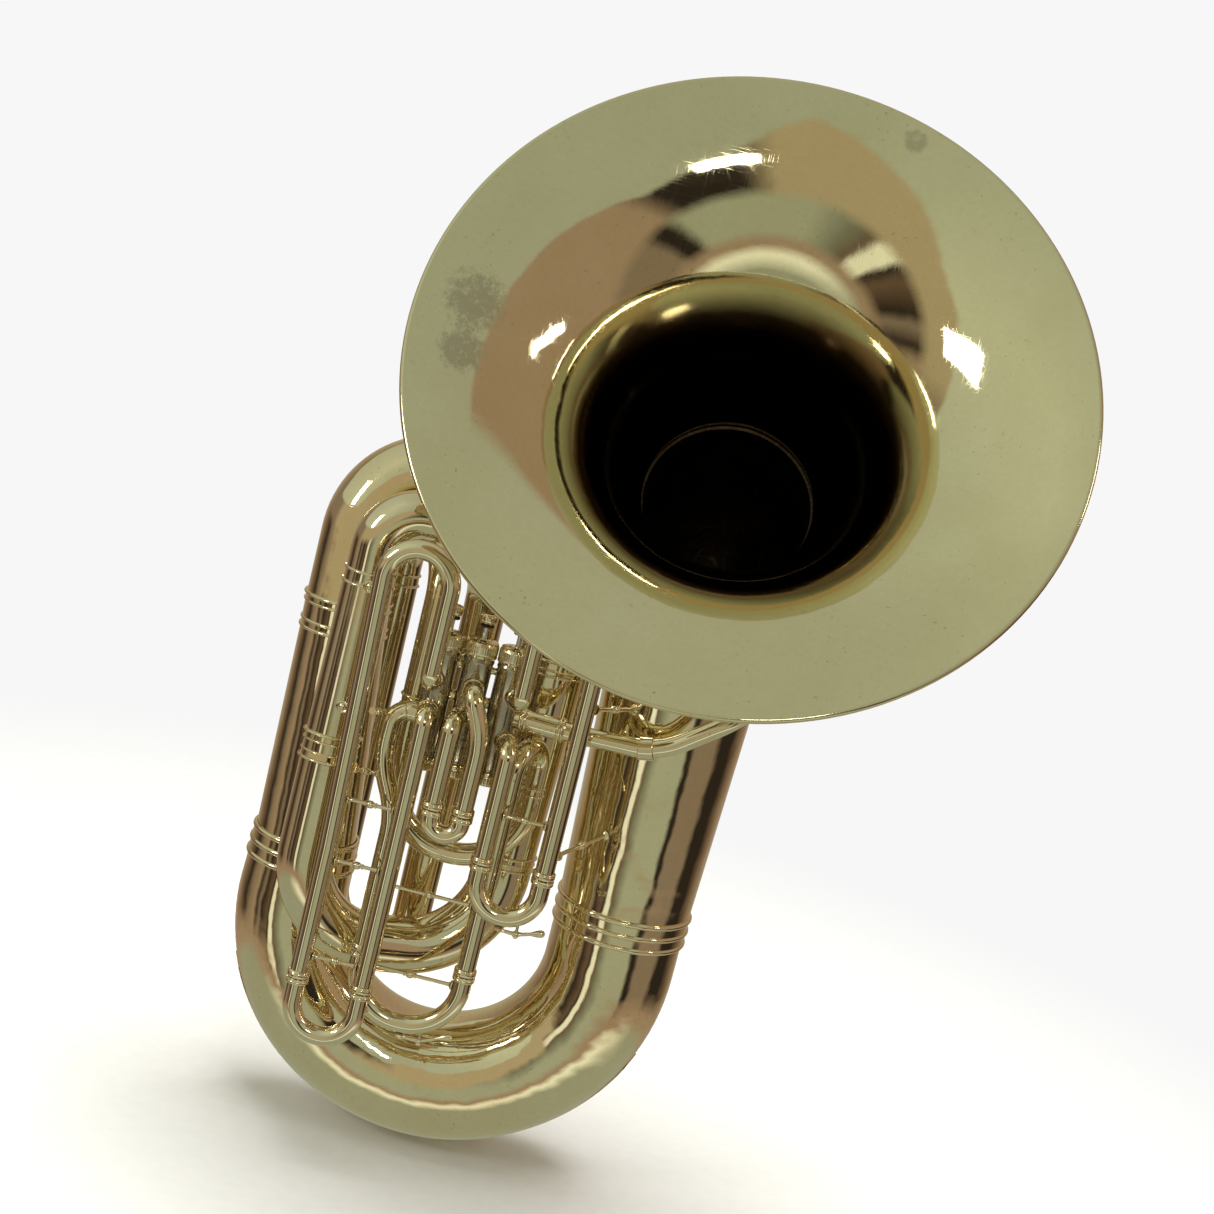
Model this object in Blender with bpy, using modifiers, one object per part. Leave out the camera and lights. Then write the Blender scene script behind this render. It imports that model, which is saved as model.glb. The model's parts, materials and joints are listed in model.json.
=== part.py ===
"""Recording-bell tuba with three top-action valves, built from separate brass parts.

Millimetres in the constants, metres in the scene. +Z up along the stack, the bell faces -Y.
The origin is the lowest point of the bottom bow, where a stand carries the instrument.
"""
import math
import bpy
import bmesh
from mathutils import Matrix, Vector

MM = 0.001

# ---- bell
BELL_RIM_R = 302.0
BELL_RIM_CENTRE = (150.6, -300.0, 889.5)
BELL_TILT = 31.0            # bell axis above the horizontal, degrees
BELL_TURN = 3.13            # bell axis turned to the left of straight ahead, degrees
BELL_LENGTH = 278.0
BELL_WALL = 0.9
HORN_START = 53.0           # Bessel horn: radius falls as a power of the depth from the rim
HORN_POWER = 0.7
FLARE = [(BELL_RIM_R * (1.0 + s / HORN_START) ** -HORN_POWER, s)
         for s in (0.0, 7.0, 16.0, 29.0, 46.0, 69.0, 100.0, 140.0, 188.0, BELL_LENGTH)]
ELBOW_R = 98.0
ELBOW_TUBE_R = 83.4
TENON_R = 79.6
TENON_BOTTOM = 600.0

# ---- stack and outer branches
STACK_X = 167.0
STACK_TOP = 596.0
STACK_R0, STACK_R1 = 68.0, 79.6
SOCKET_BORE_R = 81.2
SOCKET_R = 87.0
SOCKET_Z0, SOCKET_Z1 = 566.0, 622.0
BOW_R = 168.0
BOW_FLOOR = 69.7              # height of the bow's centre line over the stand
BOW_Z = BOW_FLOOR + 167.9
BOW_TUBE_R0, BOW_TUBE_R1 = 67.4, 53.0
BOW_JOIN_Z = 297.0
BRANCH_X = -169.4

# ---- valves
VALVE_X = (0.4, -33.6, -67.6)
VALVE_Y = -95.0
CASING_R, CASING_BORE_R = 14.8, 14.1
CASING_Z0, CASING_Z1 = 427.0, 556.0
CAP_R = 16.7
CAP_TOP = 561.0
BOTTOM_CAP_Z = 421.0
PISTON_R = 13.5
PISTON_Z0, PISTON_Z1 = 458.0, 540.0
STEM_R = 2.6
STEM_TOP = 577.0
BUTTON_R = 8.6
BUTTON_TOP = 589.0
STROKE = 15.0
SPRING_R = 9.5
SPRING_WIRE = 0.8
SPRING_TURNS = 5

# ---- cylindrical tubing
TUBE_R = 9.6
INNER_R = 8.3
TUBE_WALL = 0.6
SLIDE_GAP = 0.5
RING_R = 11.4
RING_W = 5.0
LOOP_Y = -131.0
MAIN_Y = -106.0
V1_X = (17.0, 79.0)
V2_X = (-42.5, -12.5)
V3_X = (-133.0, -69.0)
MAIN_X = (-79.5, 26.4)
V1_LEG_Z, V2_LEG_Z, V3_LEG_Z, MAIN_LEG_Z = 352.0, 394.0, 192.0, 226.0
V1_BOW_Z, V2_BOW_Z, V3_BOW_Z, MAIN_BOW_Z = 303.0, 370.0, 135.5, 159.5

NAME = "recording_tuba"

for stale in list(bpy.data.objects):
    bpy.data.objects.remove(stale, do_unlink=True)

scene = bpy.context.scene
parts = bpy.data.collections.new(NAME)
scene.collection.children.link(parts)
cutters = bpy.data.collections.new("cutters")
scene.collection.children.link(cutters)


def material(name, colour, roughness, metallic):
    mat = bpy.data.materials.new(name)
    mat.use_nodes = True
    bsdf = mat.node_tree.nodes["Principled BSDF"]
    bsdf.inputs["Base Color"].default_value = (*colour, 1.0)
    bsdf.inputs["Roughness"].default_value = roughness
    bsdf.inputs["Metallic"].default_value = metallic
    return mat


BRASS = (0.55, 0.40, 0.17)
NICKEL = (0.62, 0.60, 0.54)
STEEL = (0.50, 0.50, 0.50)


def finish(obj, colour=BRASS, roughness=0.25, metallic=1.0):
    """Give the object its material and smooth shading, and put it with the parts."""
    obj.data.materials.clear()
    obj.data.materials.append(material("mat_" + obj.name, colour, roughness, metallic))
    for poly in obj.data.polygons:
        poly.use_smooth = True
    return obj


def vec(point):
    return Vector(point) * MM


def round_corners(points, bends, step):
    """The polyline through points (mm) with an arc of the given radius at each inner point."""
    corners = [Vector(p) for p in points]
    out = [corners[0]]
    for i in range(1, len(corners) - 1):
        back = (corners[i - 1] - corners[i]).normalized()
        ahead = (corners[i + 1] - corners[i]).normalized()
        turn = math.pi - back.angle(ahead)
        if turn < 0.02:
            out.append(corners[i])
            continue
        radius = bends[i - 1]
        start = corners[i] + back * (radius * math.tan(turn / 2))
        centre = corners[i] + (back + ahead).normalized() * (radius / math.cos(turn / 2))
        spoke = (start - centre).normalized()
        axis = spoke.cross(-back).normalized()
        count = max(2, math.ceil(math.degrees(turn) / step))
        for j in range(count + 1):
            arm = Matrix.Rotation(turn * j / count, 3, axis) @ spoke
            out.append(centre + arm * radius)
    out.append(corners[-1])
    kept = [out[0]]
    for point in out[1:]:
        if (point - kept[-1]).length > 0.6:
            kept.append(point)
    return kept


def with_radii(path, profile):
    """Points along the path with the radius read from (distance, radius) pairs.

    A negative distance counts back from the far end; -0.0 is the far end itself.
    """
    lengths = [0.0]
    for a, b in zip(path, path[1:]):
        lengths.append(lengths[-1] + (b - a).length)
    total = lengths[-1]
    marks = []
    for s, r in profile:
        from_end = s < 0 or math.copysign(1.0, s) < 0
        marks.append((total + s if from_end else s, r))
    stations = [s for s, r in marks]
    for s in lengths:
        if min(abs(s - m) for m in stations) > 0.7:
            stations.append(s)
    result = []
    for s in sorted(stations):
        k = 0
        while k < len(lengths) - 2 and lengths[k + 1] < s:
            k += 1
        t = (s - lengths[k]) / (lengths[k + 1] - lengths[k])
        m = 0
        while m < len(marks) - 2 and marks[m + 1][0] < s:
            m += 1
        u = (s - marks[m][0]) / (marks[m + 1][0] - marks[m][0])
        radius = marks[m][1] + (marks[m + 1][1] - marks[m][1]) * min(1.0, max(0.0, u))
        result.append((path[k].lerp(path[k + 1], t), radius))
    return result


def sweep(name, stations, resolution, capped):
    """A mesh object swept as a round bar along (point, radius) stations in mm."""
    data = bpy.data.curves.new(name, "CURVE")
    data.dimensions = "3D"
    data.bevel_depth = MM
    data.bevel_resolution = resolution
    data.use_fill_caps = capped
    spline = data.splines.new("POLY")
    spline.points.add(len(stations) - 1)
    for item, (point, radius) in zip(spline.points, stations):
        item.co = (*(point * MM), 1.0)
        item.radius = radius
    wire = bpy.data.objects.new(name + "_wire", data)
    scene.collection.objects.link(wire)
    mesh = bpy.data.meshes.new_from_object(wire)
    bm = bmesh.new()
    bm.from_mesh(mesh)
    bmesh.ops.remove_doubles(bm, verts=bm.verts, dist=0.000005)
    bm.to_mesh(mesh)
    bm.free()
    bpy.data.objects.remove(wire, do_unlink=True)
    mesh.name = name
    obj = bpy.data.objects.new(name, mesh)
    parts.objects.link(obj)
    return obj


def tube(name, points, bends, profile, wall=TUBE_WALL, resolution=2, step=36, colour=BRASS):
    """A hollow open-ended tube; resolution 2 has 8 sides, 6 has 16."""
    stations = with_radii(round_corners(points, bends, step), profile)
    obj = sweep(name, stations, resolution, False)
    shell = obj.modifiers.new("wall", "SOLIDIFY")
    shell.thickness = wall * MM
    shell.offset = -1.0
    return finish(obj, colour)


def turned(name, outline, steps=20, closed=True, location=(0, 0, 0), axis=(0, 0, 1),
           colour=BRASS, roughness=0.25, metallic=1.0):
    """A turned piece: outline of (radius, height) in mm, down the outer side first."""
    mesh = bpy.data.meshes.new(name)
    verts = [(r * MM, 0.0, z * MM) for r, z in outline]
    edges = [(i, i + 1) for i in range(len(verts) - 1)]
    if closed:
        edges.append((len(verts) - 1, 0))
    mesh.from_pydata(verts, edges, [])
    obj = bpy.data.objects.new(name, mesh)
    parts.objects.link(obj)
    obj.location = vec(location)
    obj.rotation_euler = Vector((0, 0, 1)).rotation_difference(Vector(axis)).to_euler()
    screw = obj.modifiers.new("turn", "SCREW")
    screw.axis = "Z"
    screw.steps = steps
    screw.render_steps = steps
    screw.use_merge_vertices = True
    screw.merge_threshold = 0.00001
    screw.use_smooth_shade = True
    obj.data.materials.append(material("mat_" + name, colour, roughness, metallic))
    return obj


def cut_by_casing(obj, x):
    """Fit the tube's end to the round casing at x, with the usual small gap."""
    mesh = bpy.data.meshes.new("cutter")
    bm = bmesh.new()
    bmesh.ops.create_cone(bm, cap_ends=True, segments=32, radius1=(CASING_R + 0.4) * MM,
                          radius2=(CASING_R + 0.4) * MM, depth=0.2)
    bm.to_mesh(mesh)
    bm.free()
    cutter = bpy.data.objects.new("cutter_" + obj.name, mesh)
    cutter.location = vec((x, VALVE_Y, 490.0))
    cutter.hide_render = True
    cutter.display_type = "WIRE"
    cutters.objects.link(cutter)
    cut = obj.modifiers.new("port", "BOOLEAN")
    cut.operation = "DIFFERENCE"
    cut.solver = "EXACT"
    cut.object = cutter
    return obj


def ferrule(name, x, z0, z1, bore, body, axis=(0, 0, 1), y=0.0):
    """A turned ferrule with a bead near each end and one in the middle."""
    mid = (z0 + z1) / 2
    bead = body + 2.4
    outline = [(bore, z1), (bead, z1), (bead, z1 - 5), (body, z1 - 6), (body, mid + 3),
               (bead, mid + 2), (bead, mid - 2), (body, mid - 3), (body, z0 + 6),
               (bead, z0 + 5), (bead, z0), (bore, z0)]
    outline = [(r, z - mid) for r, z in outline]
    return turned(name, outline, location=(x, y, mid), axis=axis)


def brace(name, start, end, rod=2.0, foot=4.6):
    """A turned stay: round feet, thin rod, a ball in the middle."""
    a = Vector(start)
    b = Vector(end)
    length = (b - a).length
    profile = [(0.0, foot), (1.6, foot), (3.4, rod), (length / 2 - 3, rod),
               (length / 2, rod * 1.7), (length / 2 + 3, rod), (-3.4, rod), (-1.6, foot),
               (-0.0, foot)]
    return finish(sweep(name, with_radii([a, b], profile), 2, True))


# ---------------------------------------------------------------- bell
def bell_axis():
    tilt = math.radians(BELL_TILT)
    turn = math.radians(BELL_TURN)
    flat = math.cos(tilt)
    return Vector((-math.sin(turn) * flat, -math.cos(turn) * flat, math.sin(tilt)))


def build_bell():
    axis = bell_axis()
    outer = [(BELL_RIM_R - 1.0, -2.5), (BELL_RIM_R + 2.5, -2.0), (BELL_RIM_R + 3.6, 1.0),
             (BELL_RIM_R + 2.5, 4.0), (BELL_RIM_R - 2.0, 4.6)]
    outer += [(r + BELL_WALL * 0.6, s + BELL_WALL) for r, s in FLARE[1:-1]]
    outer += [(FLARE[-1][0] + BELL_WALL, FLARE[-1][1])]
    inner = [(r, s) for r, s in reversed(FLARE)]
    outline = [(r, -s) for r, s in outer + inner]
    turned("bell_flare", outline, steps=32, location=BELL_RIM_CENTRE, axis=axis)
    centre = Vector(BELL_RIM_CENTRE)
    neck = centre - axis * (BELL_LENGTH + 1.2)
    reach = math.hypot(centre.x - STACK_X, centre.y)
    corner = Vector((STACK_X, 0.0, centre.z - reach * math.tan(math.radians(BELL_TILT))))
    points = [neck, corner, (STACK_X, 0.0, TENON_BOTTOM)]
    profile = [(0.0, FLARE[-1][0] + 2.2), (9.0, FLARE[-1][0] + 2.2), (12.0, ELBOW_TUBE_R),
               (-25.6, ELBOW_TUBE_R), (-22.4, TENON_R), (-0.0, TENON_R)]
    tube("bell_elbow", points, [ELBOW_R], profile, wall=1.0, resolution=5, step=15)


def build_socket():
    z0, z1 = SOCKET_Z0, SOCKET_Z1
    outline = [(SOCKET_BORE_R, z1), (SOCKET_R + 1.5, z1), (SOCKET_R + 1.5, z1 - 5),
               (SOCKET_R, z1 - 7), (SOCKET_R, z0 + 8), (SOCKET_R + 1.2, z0 + 6),
               (SOCKET_R + 1.2, z0 + 2), (SOCKET_BORE_R, z0)]
    turned("bell_socket", outline, steps=28, location=(STACK_X, 0, 0))
    for k, angle in enumerate((40.0, 160.0, 280.0)):
        a = math.radians(angle)
        out = Vector((math.cos(a), math.sin(a), 0.0))
        seat = Vector((STACK_X, 0.0, 609.0)) + out * (SOCKET_R + 0.5)
        outline = [(0.0, 11.5), (7.0, 11.5), (8.5, 10.0), (8.5, 5.0), (7.5, 4.0), (3.0, 4.0),
                   (3.0, 0.0), (0.0, 0.0)]
        turned("bell_screw_%d" % (k + 1), outline, steps=12, closed=False, location=seat,
               axis=out, colour=NICKEL)


# ---------------------------------------------------------------- conical tubing
def build_cones():
    big = dict(wall=0.9, resolution=5)
    tube("bell_stack", [(STACK_X, 0, BOW_JOIN_Z + 0.4), (STACK_X, 0, STACK_TOP)], [],
         [(0.0, STACK_R0), (-0.0, STACK_R1)], **big)
    left = (BRANCH_X, 0.0)
    tube("bottom_bow", [(STACK_X, 0, BOW_JOIN_Z), (STACK_X, 0, BOW_FLOOR), (left[0], 0, BOW_FLOOR),
                        (left[0], 0, BOW_JOIN_Z - 7)], [167.9, 167.9],
         [(0.0, BOW_TUBE_R0), (300.0, 66.9), (440.0, 64.0), (-0.0, BOW_TUBE_R1)],
         step=22.5, **big)
    tube("outer_branch", [(BRANCH_X, 0, BOW_JOIN_Z - 3.5), (-181, 2, 545)], [],
         [(0.0, 52.6), (-31.0, 43.6), (-29.0, 46.0), (-4.0, 46.4), (-3.0, 45.0), (-0.0, 45.0)],
         **big)
    tube("outer_top_bow", [(-181.0, 2.1, 548.5), (-185, 22, 690), (36, 22, 690),
                           (36, 2, 540)], [76, 76],
         [(0.0, 42.6), (-0.0, 36.0)], step=30, **big)
    mid = dict(wall=0.8, resolution=3, step=34)
    tube("inner_branch", [(36, 1.8, 536), (36, -10, 330)], [],
         [(0.0, 37.6), (16.0, 37.2), (18.0, 35.2), (-0.0, 30.6)], **mid)
    tube("inner_bow", [(36, -10.1, 327.5), (36, -15, 218), (-157, -92, 218), (-157, -89, 404)],
         [92, 92], [(0.0, 32.4), (14.0, 32.2), (16.0, 30.0), (-0.0, 27.2)], **mid)
    tube("second_branch", [(-157, -89, 406), (-158, -74, 586)], [],
         [(0.0, 30.4), (5.0, 30.4), (7.0, 29.0), (24.0, 29.0), (26.0, 30.2), (30.0, 30.2),
          (32.0, 27.0), (-0.0, 25.0)], **mid)
    tube("second_top_bow", [(-158, -74, 588), (-158, -73, 662), (-70, -62, 662),
                            (-46, 30, 590), (-46, 42, 512)], [42, 30, 40],
         [(0.0, 26.8), (14.0, 26.6), (16.0, 24.6), (-0.0, 21.4)], **mid)
    tube("third_bow", [(-46, 42, 509.5), (-46, 42, 175), (-138, 78, 175), (-138, 76, 560)],
         [46, 46], [(0.0, 23.4), (14.0, 23.2), (16.0, 21.2), (-0.0, 16.6)], **mid)
    tube("third_top_bow", [(-138, 76, 560.5), (-138, 76, 624), (-88, -46, 624),
                           (-88, -60, 480)], [50, 50],
         [(0.0, 18.4), (12.0, 18.2), (14.0, 16.2), (-0.0, 13.2)], **mid)
    tube("fourth_bow", [(-88, -60, 479.5), (-88, -60, 331), (48, -60, 331), (48, -60, 412)],
         [66, 66], [(0.0, 15.2), (12.0, 15.0), (14.0, 13.0), (-0.0, 10.6)], **mid)


def build_guard():
    """A thin strip of sheet along the outermost line of the bottom bow."""
    width, thick = 17.0, 1.4
    mesh = bpy.data.meshes.new("bow_guard")
    bm = bmesh.new()
    rings = []
    for k in range(1, 8):
        a = math.radians(-22.5 * k)
        run = 62.0 - BOW_R * a
        tube_r = BOW_TUBE_R0 - 0.5 * run / 300.0
        if run > 300.0:
            tube_r = 66.9 - 2.9 * min(1.0, (run - 300.0) / 140.0)
        if run > 440.0:
            tube_r = 64.0 - 11.0 * (run - 440.0) / 205.0
        reach = BOW_R + tube_r + 1.8
        centre_x = (STACK_X + BRANCH_X) / 2
        out = Vector((math.cos(a), 0.0, math.sin(a)))
        foot = Vector((centre_x, 0.0, BOW_Z)) + out * reach
        side = Vector((0.0, width / 2, 0.0))
        ring = [foot - side, foot + side, foot + side + out * thick, foot - side + out * thick]
        rings.append([bm.verts.new(p * MM) for p in ring])
    for a, b in zip(rings, rings[1:]):
        for j in range(4):
            bm.faces.new((a[j], a[(j + 1) % 4], b[(j + 1) % 4], b[j]))
    bm.faces.new(rings[0])
    bm.faces.new(list(reversed(rings[-1])))
    bmesh.ops.recalc_face_normals(bm, faces=bm.faces)
    bm.to_mesh(mesh)
    bm.free()
    obj = bpy.data.objects.new("bow_guard", mesh)
    parts.objects.link(obj)
    finish(obj)


# ---------------------------------------------------------------- valves
def build_valve(number, x):
    tag = "valve_%d_" % number
    here = (x, VALVE_Y, 0.0)
    rim = CAP_R
    casing = [(CASING_BORE_R, CASING_Z1), (CASING_R, CASING_Z1), (CASING_R, CASING_Z0),
              (CASING_BORE_R, CASING_Z0)]
    turned(tag + "casing", casing, steps=14, location=here, colour=NICKEL)
    top = CAP_TOP
    skirt = CASING_R + 0.4
    cap = [(3.2, top + 1.2), (7.0, top + 1.2), (8.0, top), (rim - 1.5, top), (rim, top - 2),
           (rim, 546.5), (rim - 0.8, 545.0), (skirt, 545.0), (skirt, CASING_Z1 + 0.4),
           (3.2, CASING_Z1 + 0.4)]
    turned(tag + "top_cap", cap, steps=14, location=here)
    low = BOTTOM_CAP_Z
    cap = [(skirt, low + 14), (rim - 0.6, low + 14), (rim - 0.3, low + 12.5),
           (rim - 0.3, low + 2), (rim - 2, low), (2.0, low), (2.0, low + 2.0),
           (13.0, low + 2.0), (13.0, low + 5.5), (skirt, low + 5.5)]
    turned(tag + "bottom_cap", cap, steps=14, location=here)
    piston = [(0.0, STEM_TOP), (STEM_R, STEM_TOP), (STEM_R, PISTON_Z1), (PISTON_R, PISTON_Z1),
              (PISTON_R, PISTON_Z0), (PISTON_R - 1.2, PISTON_Z0),
              (PISTON_R - 1.2, PISTON_Z1 - 2.0), (0.0, PISTON_Z1 - 2.0)]
    turned(tag + "piston", piston, steps=12, closed=False, location=here, colour=NICKEL)
    button = [(0.0, BUTTON_TOP), (5.5, BUTTON_TOP - 0.4), (BUTTON_R - 0.6, BUTTON_TOP - 1.6),
              (BUTTON_R, BUTTON_TOP - 4), (BUTTON_R, STEM_TOP + 3.0),
              (BUTTON_R - 2.0, STEM_TOP + 0.3), (0.0, STEM_TOP + 0.3)]
    turned(tag + "button", button, steps=12, closed=False, location=here)
    z0 = low + 5.5 + SPRING_WIRE
    z1 = PISTON_Z0 - SPRING_WIRE - 1.5
    stations = []
    count = SPRING_TURNS * 8
    for k in range(count + 1):
        a = math.tau * k / 8
        height = z0 + (z1 - z0) * k / count
        point = Vector((x + SPRING_R * math.cos(a), VALVE_Y + SPRING_R * math.sin(a), height))
        stations.append((point, SPRING_WIRE))
    finish(sweep(tag + "spring", stations, 0, True), STEEL)


def leg(length_in, ring=RING_R):
    """Radius profile of a crook: both ends slide inside their legs, the bow is full size."""
    s = length_in
    return [(0.0, INNER_R), (s, INNER_R), (s + 1.2, ring), (s + RING_W, ring),
            (s + RING_W + 1.2, TUBE_R), (-s - RING_W - 1.2, TUBE_R), (-s - RING_W, ring),
            (-s - 1.2, ring), (-s, INNER_R), (-0.0, INNER_R)]


def end_ring(at_far_end=True):
    """Radius profile of a plain leg that ends in a ring."""
    if at_far_end:
        return [(0.0, TUBE_R), (-7.0, TUBE_R), (-6.0, RING_R), (-0.0, RING_R)]
    return [(0.0, RING_R), (6.0, RING_R), (7.0, TUBE_R), (-0.0, TUBE_R)]


def crook(name, legs, y, leg_z, bow_z, bend, inside):
    """The moving U of a tuning slide; its two legs reach `inside` mm up the fixed legs."""
    top = leg_z + inside
    points = [(legs[0], y, top), (legs[0], y, bow_z), (legs[1], y, bow_z),
              (legs[1], y, top)]
    profile = leg(inside + SLIDE_GAP)
    return tube(name, points, [bend, bend], profile, colour=BRASS)


def build_slides():
    y = LOOP_Y
    port = VALVE_Y - CASING_R + 6.0
    a, b = V1_X
    cut_by_casing(tube("v1_slide_upper", [(9, port, 516), (17, y, 516), (a, y, 632), (b, y, 632),
                                          (b, y, V1_LEG_Z)], [11, 30.8, 30.8], end_ring()),
                  VALVE_X[0])
    cut_by_casing(tube("v1_slide_lower", [(9, port, 470), (17, y, 470), (a, y, V1_LEG_Z)],
                       [12], end_ring()), VALVE_X[0])
    crook("v1_slide_crook", V1_X, y, V1_LEG_Z, V1_BOW_Z, 30.8, 60.0)
    a, b = V2_X
    cut_by_casing(tube("v2_slide_upper", [(-32, port, 515), (-30, y, 515), (b, y, 474),
                                          (b, y, V2_LEG_Z)], [12, 24], end_ring()),
                  VALVE_X[1])
    cut_by_casing(tube("v2_slide_lower", [(-36, port, 484), (a, y, 484), (a, y, V2_LEG_Z)],
                       [13], end_ring()), VALVE_X[1])
    crook("v2_slide_crook", V2_X, y, V2_LEG_Z, V2_BOW_Z, 14.9, 50.0)
    a, b = V3_X
    cut_by_casing(tube("v3_slide_upper", [(-71, port, 515), (-74, y, 515), (-74, y, 640.5),
                                          (-140, y, 640.5), (a, y, 330), (a, y, V3_LEG_Z)],
                       [12, 32.5, 32.5, 60], end_ring()), VALVE_X[2])
    cut_by_casing(tube("v3_slide_lower", [(-70, port, 484), (-70, y, 484), (b, y, 330),
                                          (b, y, V3_LEG_Z)], [12, 60], end_ring()), VALVE_X[2])
    crook("v3_slide_crook", V3_X, y, V3_LEG_Z, V3_BOW_Z, 31.8, 100.0)
    a, b = MAIN_X
    y = MAIN_Y
    cut_by_casing(tube("main_slide_outlet", [(-78, -95, 474), (-103, -95, 474), (-104, -98, 420),
                                             (a, y, 372), (a, y, MAIN_LEG_Z)], [18, 40, 40],
                       end_ring()), VALVE_X[2])
    tube("main_slide_leg", [(48, -60, 412.5), (48, -60, 464), (b, y, 464), (b, y, MAIN_LEG_Z)],
         [25, 25], [(0.0, 12.4), (9.0, 12.2), (10.4, 10.2), (-7.0, TUBE_R), (-6.0, RING_R),
                    (-0.0, RING_R)])
    crook("main_slide_crook", MAIN_X, y, MAIN_LEG_Z, MAIN_BOW_Z, 51.0, 90.0)


def build_leadpipe():
    points = [(12, -92, 492), (75, -97, 492), (158, -104, 496), (224, -110, 548),
              (276, -60, 602), (276, 30, 640), (276, 126, 640)]
    profile = [(0.0, TUBE_R), (127.0, TUBE_R), (128.4, RING_R), (141.0, RING_R),
               (142.4, TUBE_R), (-0.0, 8.4)]
    cut_by_casing(tube("leadpipe", points, [60, 80, 60, 60, 60], profile), VALVE_X[0])
    along = (Vector(points[-1]) - Vector(points[-2])).normalized()
    start = Vector(points[-1]) + along * 0.4
    outline = [(8.0, 34.0), (11.6, 34.0), (12.4, 32.0), (12.4, 29.0), (11.2, 27.0),
               (10.2, 4.0), (10.6, 0.0), (7.4, 0.0)]
    turned("mouthpiece_receiver", outline, steps=16, location=start, axis=along, colour=NICKEL)


def build_water_keys():
    """Each key: a pad under the bow of its crook, a lever and a touch piece."""
    for tag, x, y, z, run, rise in (("main", -23.0, MAIN_Y, MAIN_BOW_Z, 52.0, 14.0),
                                    ("v1", 48.0, LOOP_Y, V1_BOW_Z, 46.0, 8.0)):
        seat = z - TUBE_R - 0.7
        points = [(x, y, seat), (x, y, seat - 4.4), (x + run * 0.4, y, seat - 4.0),
                  (x + run, y, seat + rise - 4.0)]
        profile = [(0.0, 4.6), (2.2, 4.6), (3.4, 2.0), (-12.0, 2.0), (-6.0, 3.6), (-0.0, 3.2)]
        path = round_corners(points, [1.8, 20], 30)
        finish(sweep(tag + "_water_key", with_radii(path, profile), 2, True), NICKEL)


def build_stays():
    y = LOOP_Y
    reach = TUBE_R + 0.5
    brace("v3_stay_upper", (V3_X[0] - 1.5 + reach, y, 382), (V3_X[1] - reach, y, 382))
    brace("v3_stay_lower", (V3_X[0] + reach, y, 216), (V3_X[1] - reach, y, 216))
    brace("v1_stay", (V1_X[0] + reach, y, 404), (V1_X[1] - reach, y, 404))
    brace("main_stay", (MAIN_X[0] + reach, MAIN_Y, 298), (MAIN_X[1] - reach, MAIN_Y, 298))
    for tag, z, drop in (("lower", 388.0, 12.0), ("upper", 522.0, -6.0)):
        radius = STACK_R0 + (STACK_R1 - STACK_R0) * (z - BOW_JOIN_Z) / (STACK_TOP - BOW_JOIN_Z)
        start = Vector((V1_X[1] + 8.4, y + 6.0, z - drop))
        aim = Vector((STACK_X, 0.0, z))
        out = (start - aim)
        out.z = 0.0
        end = aim + out.normalized() * (radius + 0.6)
        brace("stack_stay_" + tag, start, end, rod=2.4, foot=5.4)


build_bell()
build_socket()
build_cones()
ferrule("stack_ferrule", STACK_X, BOW_JOIN_Z - 22, BOW_JOIN_Z + 11, 69.9, 71.2)
ferrule("branch_ferrule", BRANCH_X, BOW_JOIN_Z - 33, BOW_JOIN_Z + 1, 56.2, 57.2)
build_guard()
for index, valve_x in enumerate(VALVE_X):
    build_valve(index + 1, valve_x)
build_slides()
build_leadpipe()
build_water_keys()
build_stays()
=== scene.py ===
"""The finished look of the recording-bell tuba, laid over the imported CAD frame.

Millimetres in the constants, metres in the scene. +Z up along the stack, the bell faces -Y.
Each CAD node is replaced by a finer piece on the same route and with the same sizes.
"""
import json
import math
import bpy
import bmesh
from mathutils import Matrix, Vector

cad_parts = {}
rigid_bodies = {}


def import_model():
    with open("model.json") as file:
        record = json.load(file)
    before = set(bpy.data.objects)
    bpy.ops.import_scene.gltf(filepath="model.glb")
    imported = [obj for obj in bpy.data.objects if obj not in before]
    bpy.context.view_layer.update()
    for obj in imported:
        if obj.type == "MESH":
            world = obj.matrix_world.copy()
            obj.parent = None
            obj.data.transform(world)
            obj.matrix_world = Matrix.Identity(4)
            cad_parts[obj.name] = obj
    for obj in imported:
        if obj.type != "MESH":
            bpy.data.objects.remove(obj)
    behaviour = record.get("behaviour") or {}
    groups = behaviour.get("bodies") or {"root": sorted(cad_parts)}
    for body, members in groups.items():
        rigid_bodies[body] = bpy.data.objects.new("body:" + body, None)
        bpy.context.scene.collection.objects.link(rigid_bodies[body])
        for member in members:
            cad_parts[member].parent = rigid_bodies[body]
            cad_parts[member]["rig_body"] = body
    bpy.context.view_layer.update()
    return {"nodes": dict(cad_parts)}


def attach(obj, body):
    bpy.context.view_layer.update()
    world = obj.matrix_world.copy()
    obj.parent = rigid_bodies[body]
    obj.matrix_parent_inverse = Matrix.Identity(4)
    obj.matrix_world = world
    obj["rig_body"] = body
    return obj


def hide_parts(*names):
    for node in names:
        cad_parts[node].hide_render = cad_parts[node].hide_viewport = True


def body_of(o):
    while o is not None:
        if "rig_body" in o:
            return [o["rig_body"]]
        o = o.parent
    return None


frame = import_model()

MM = 0.001

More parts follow.
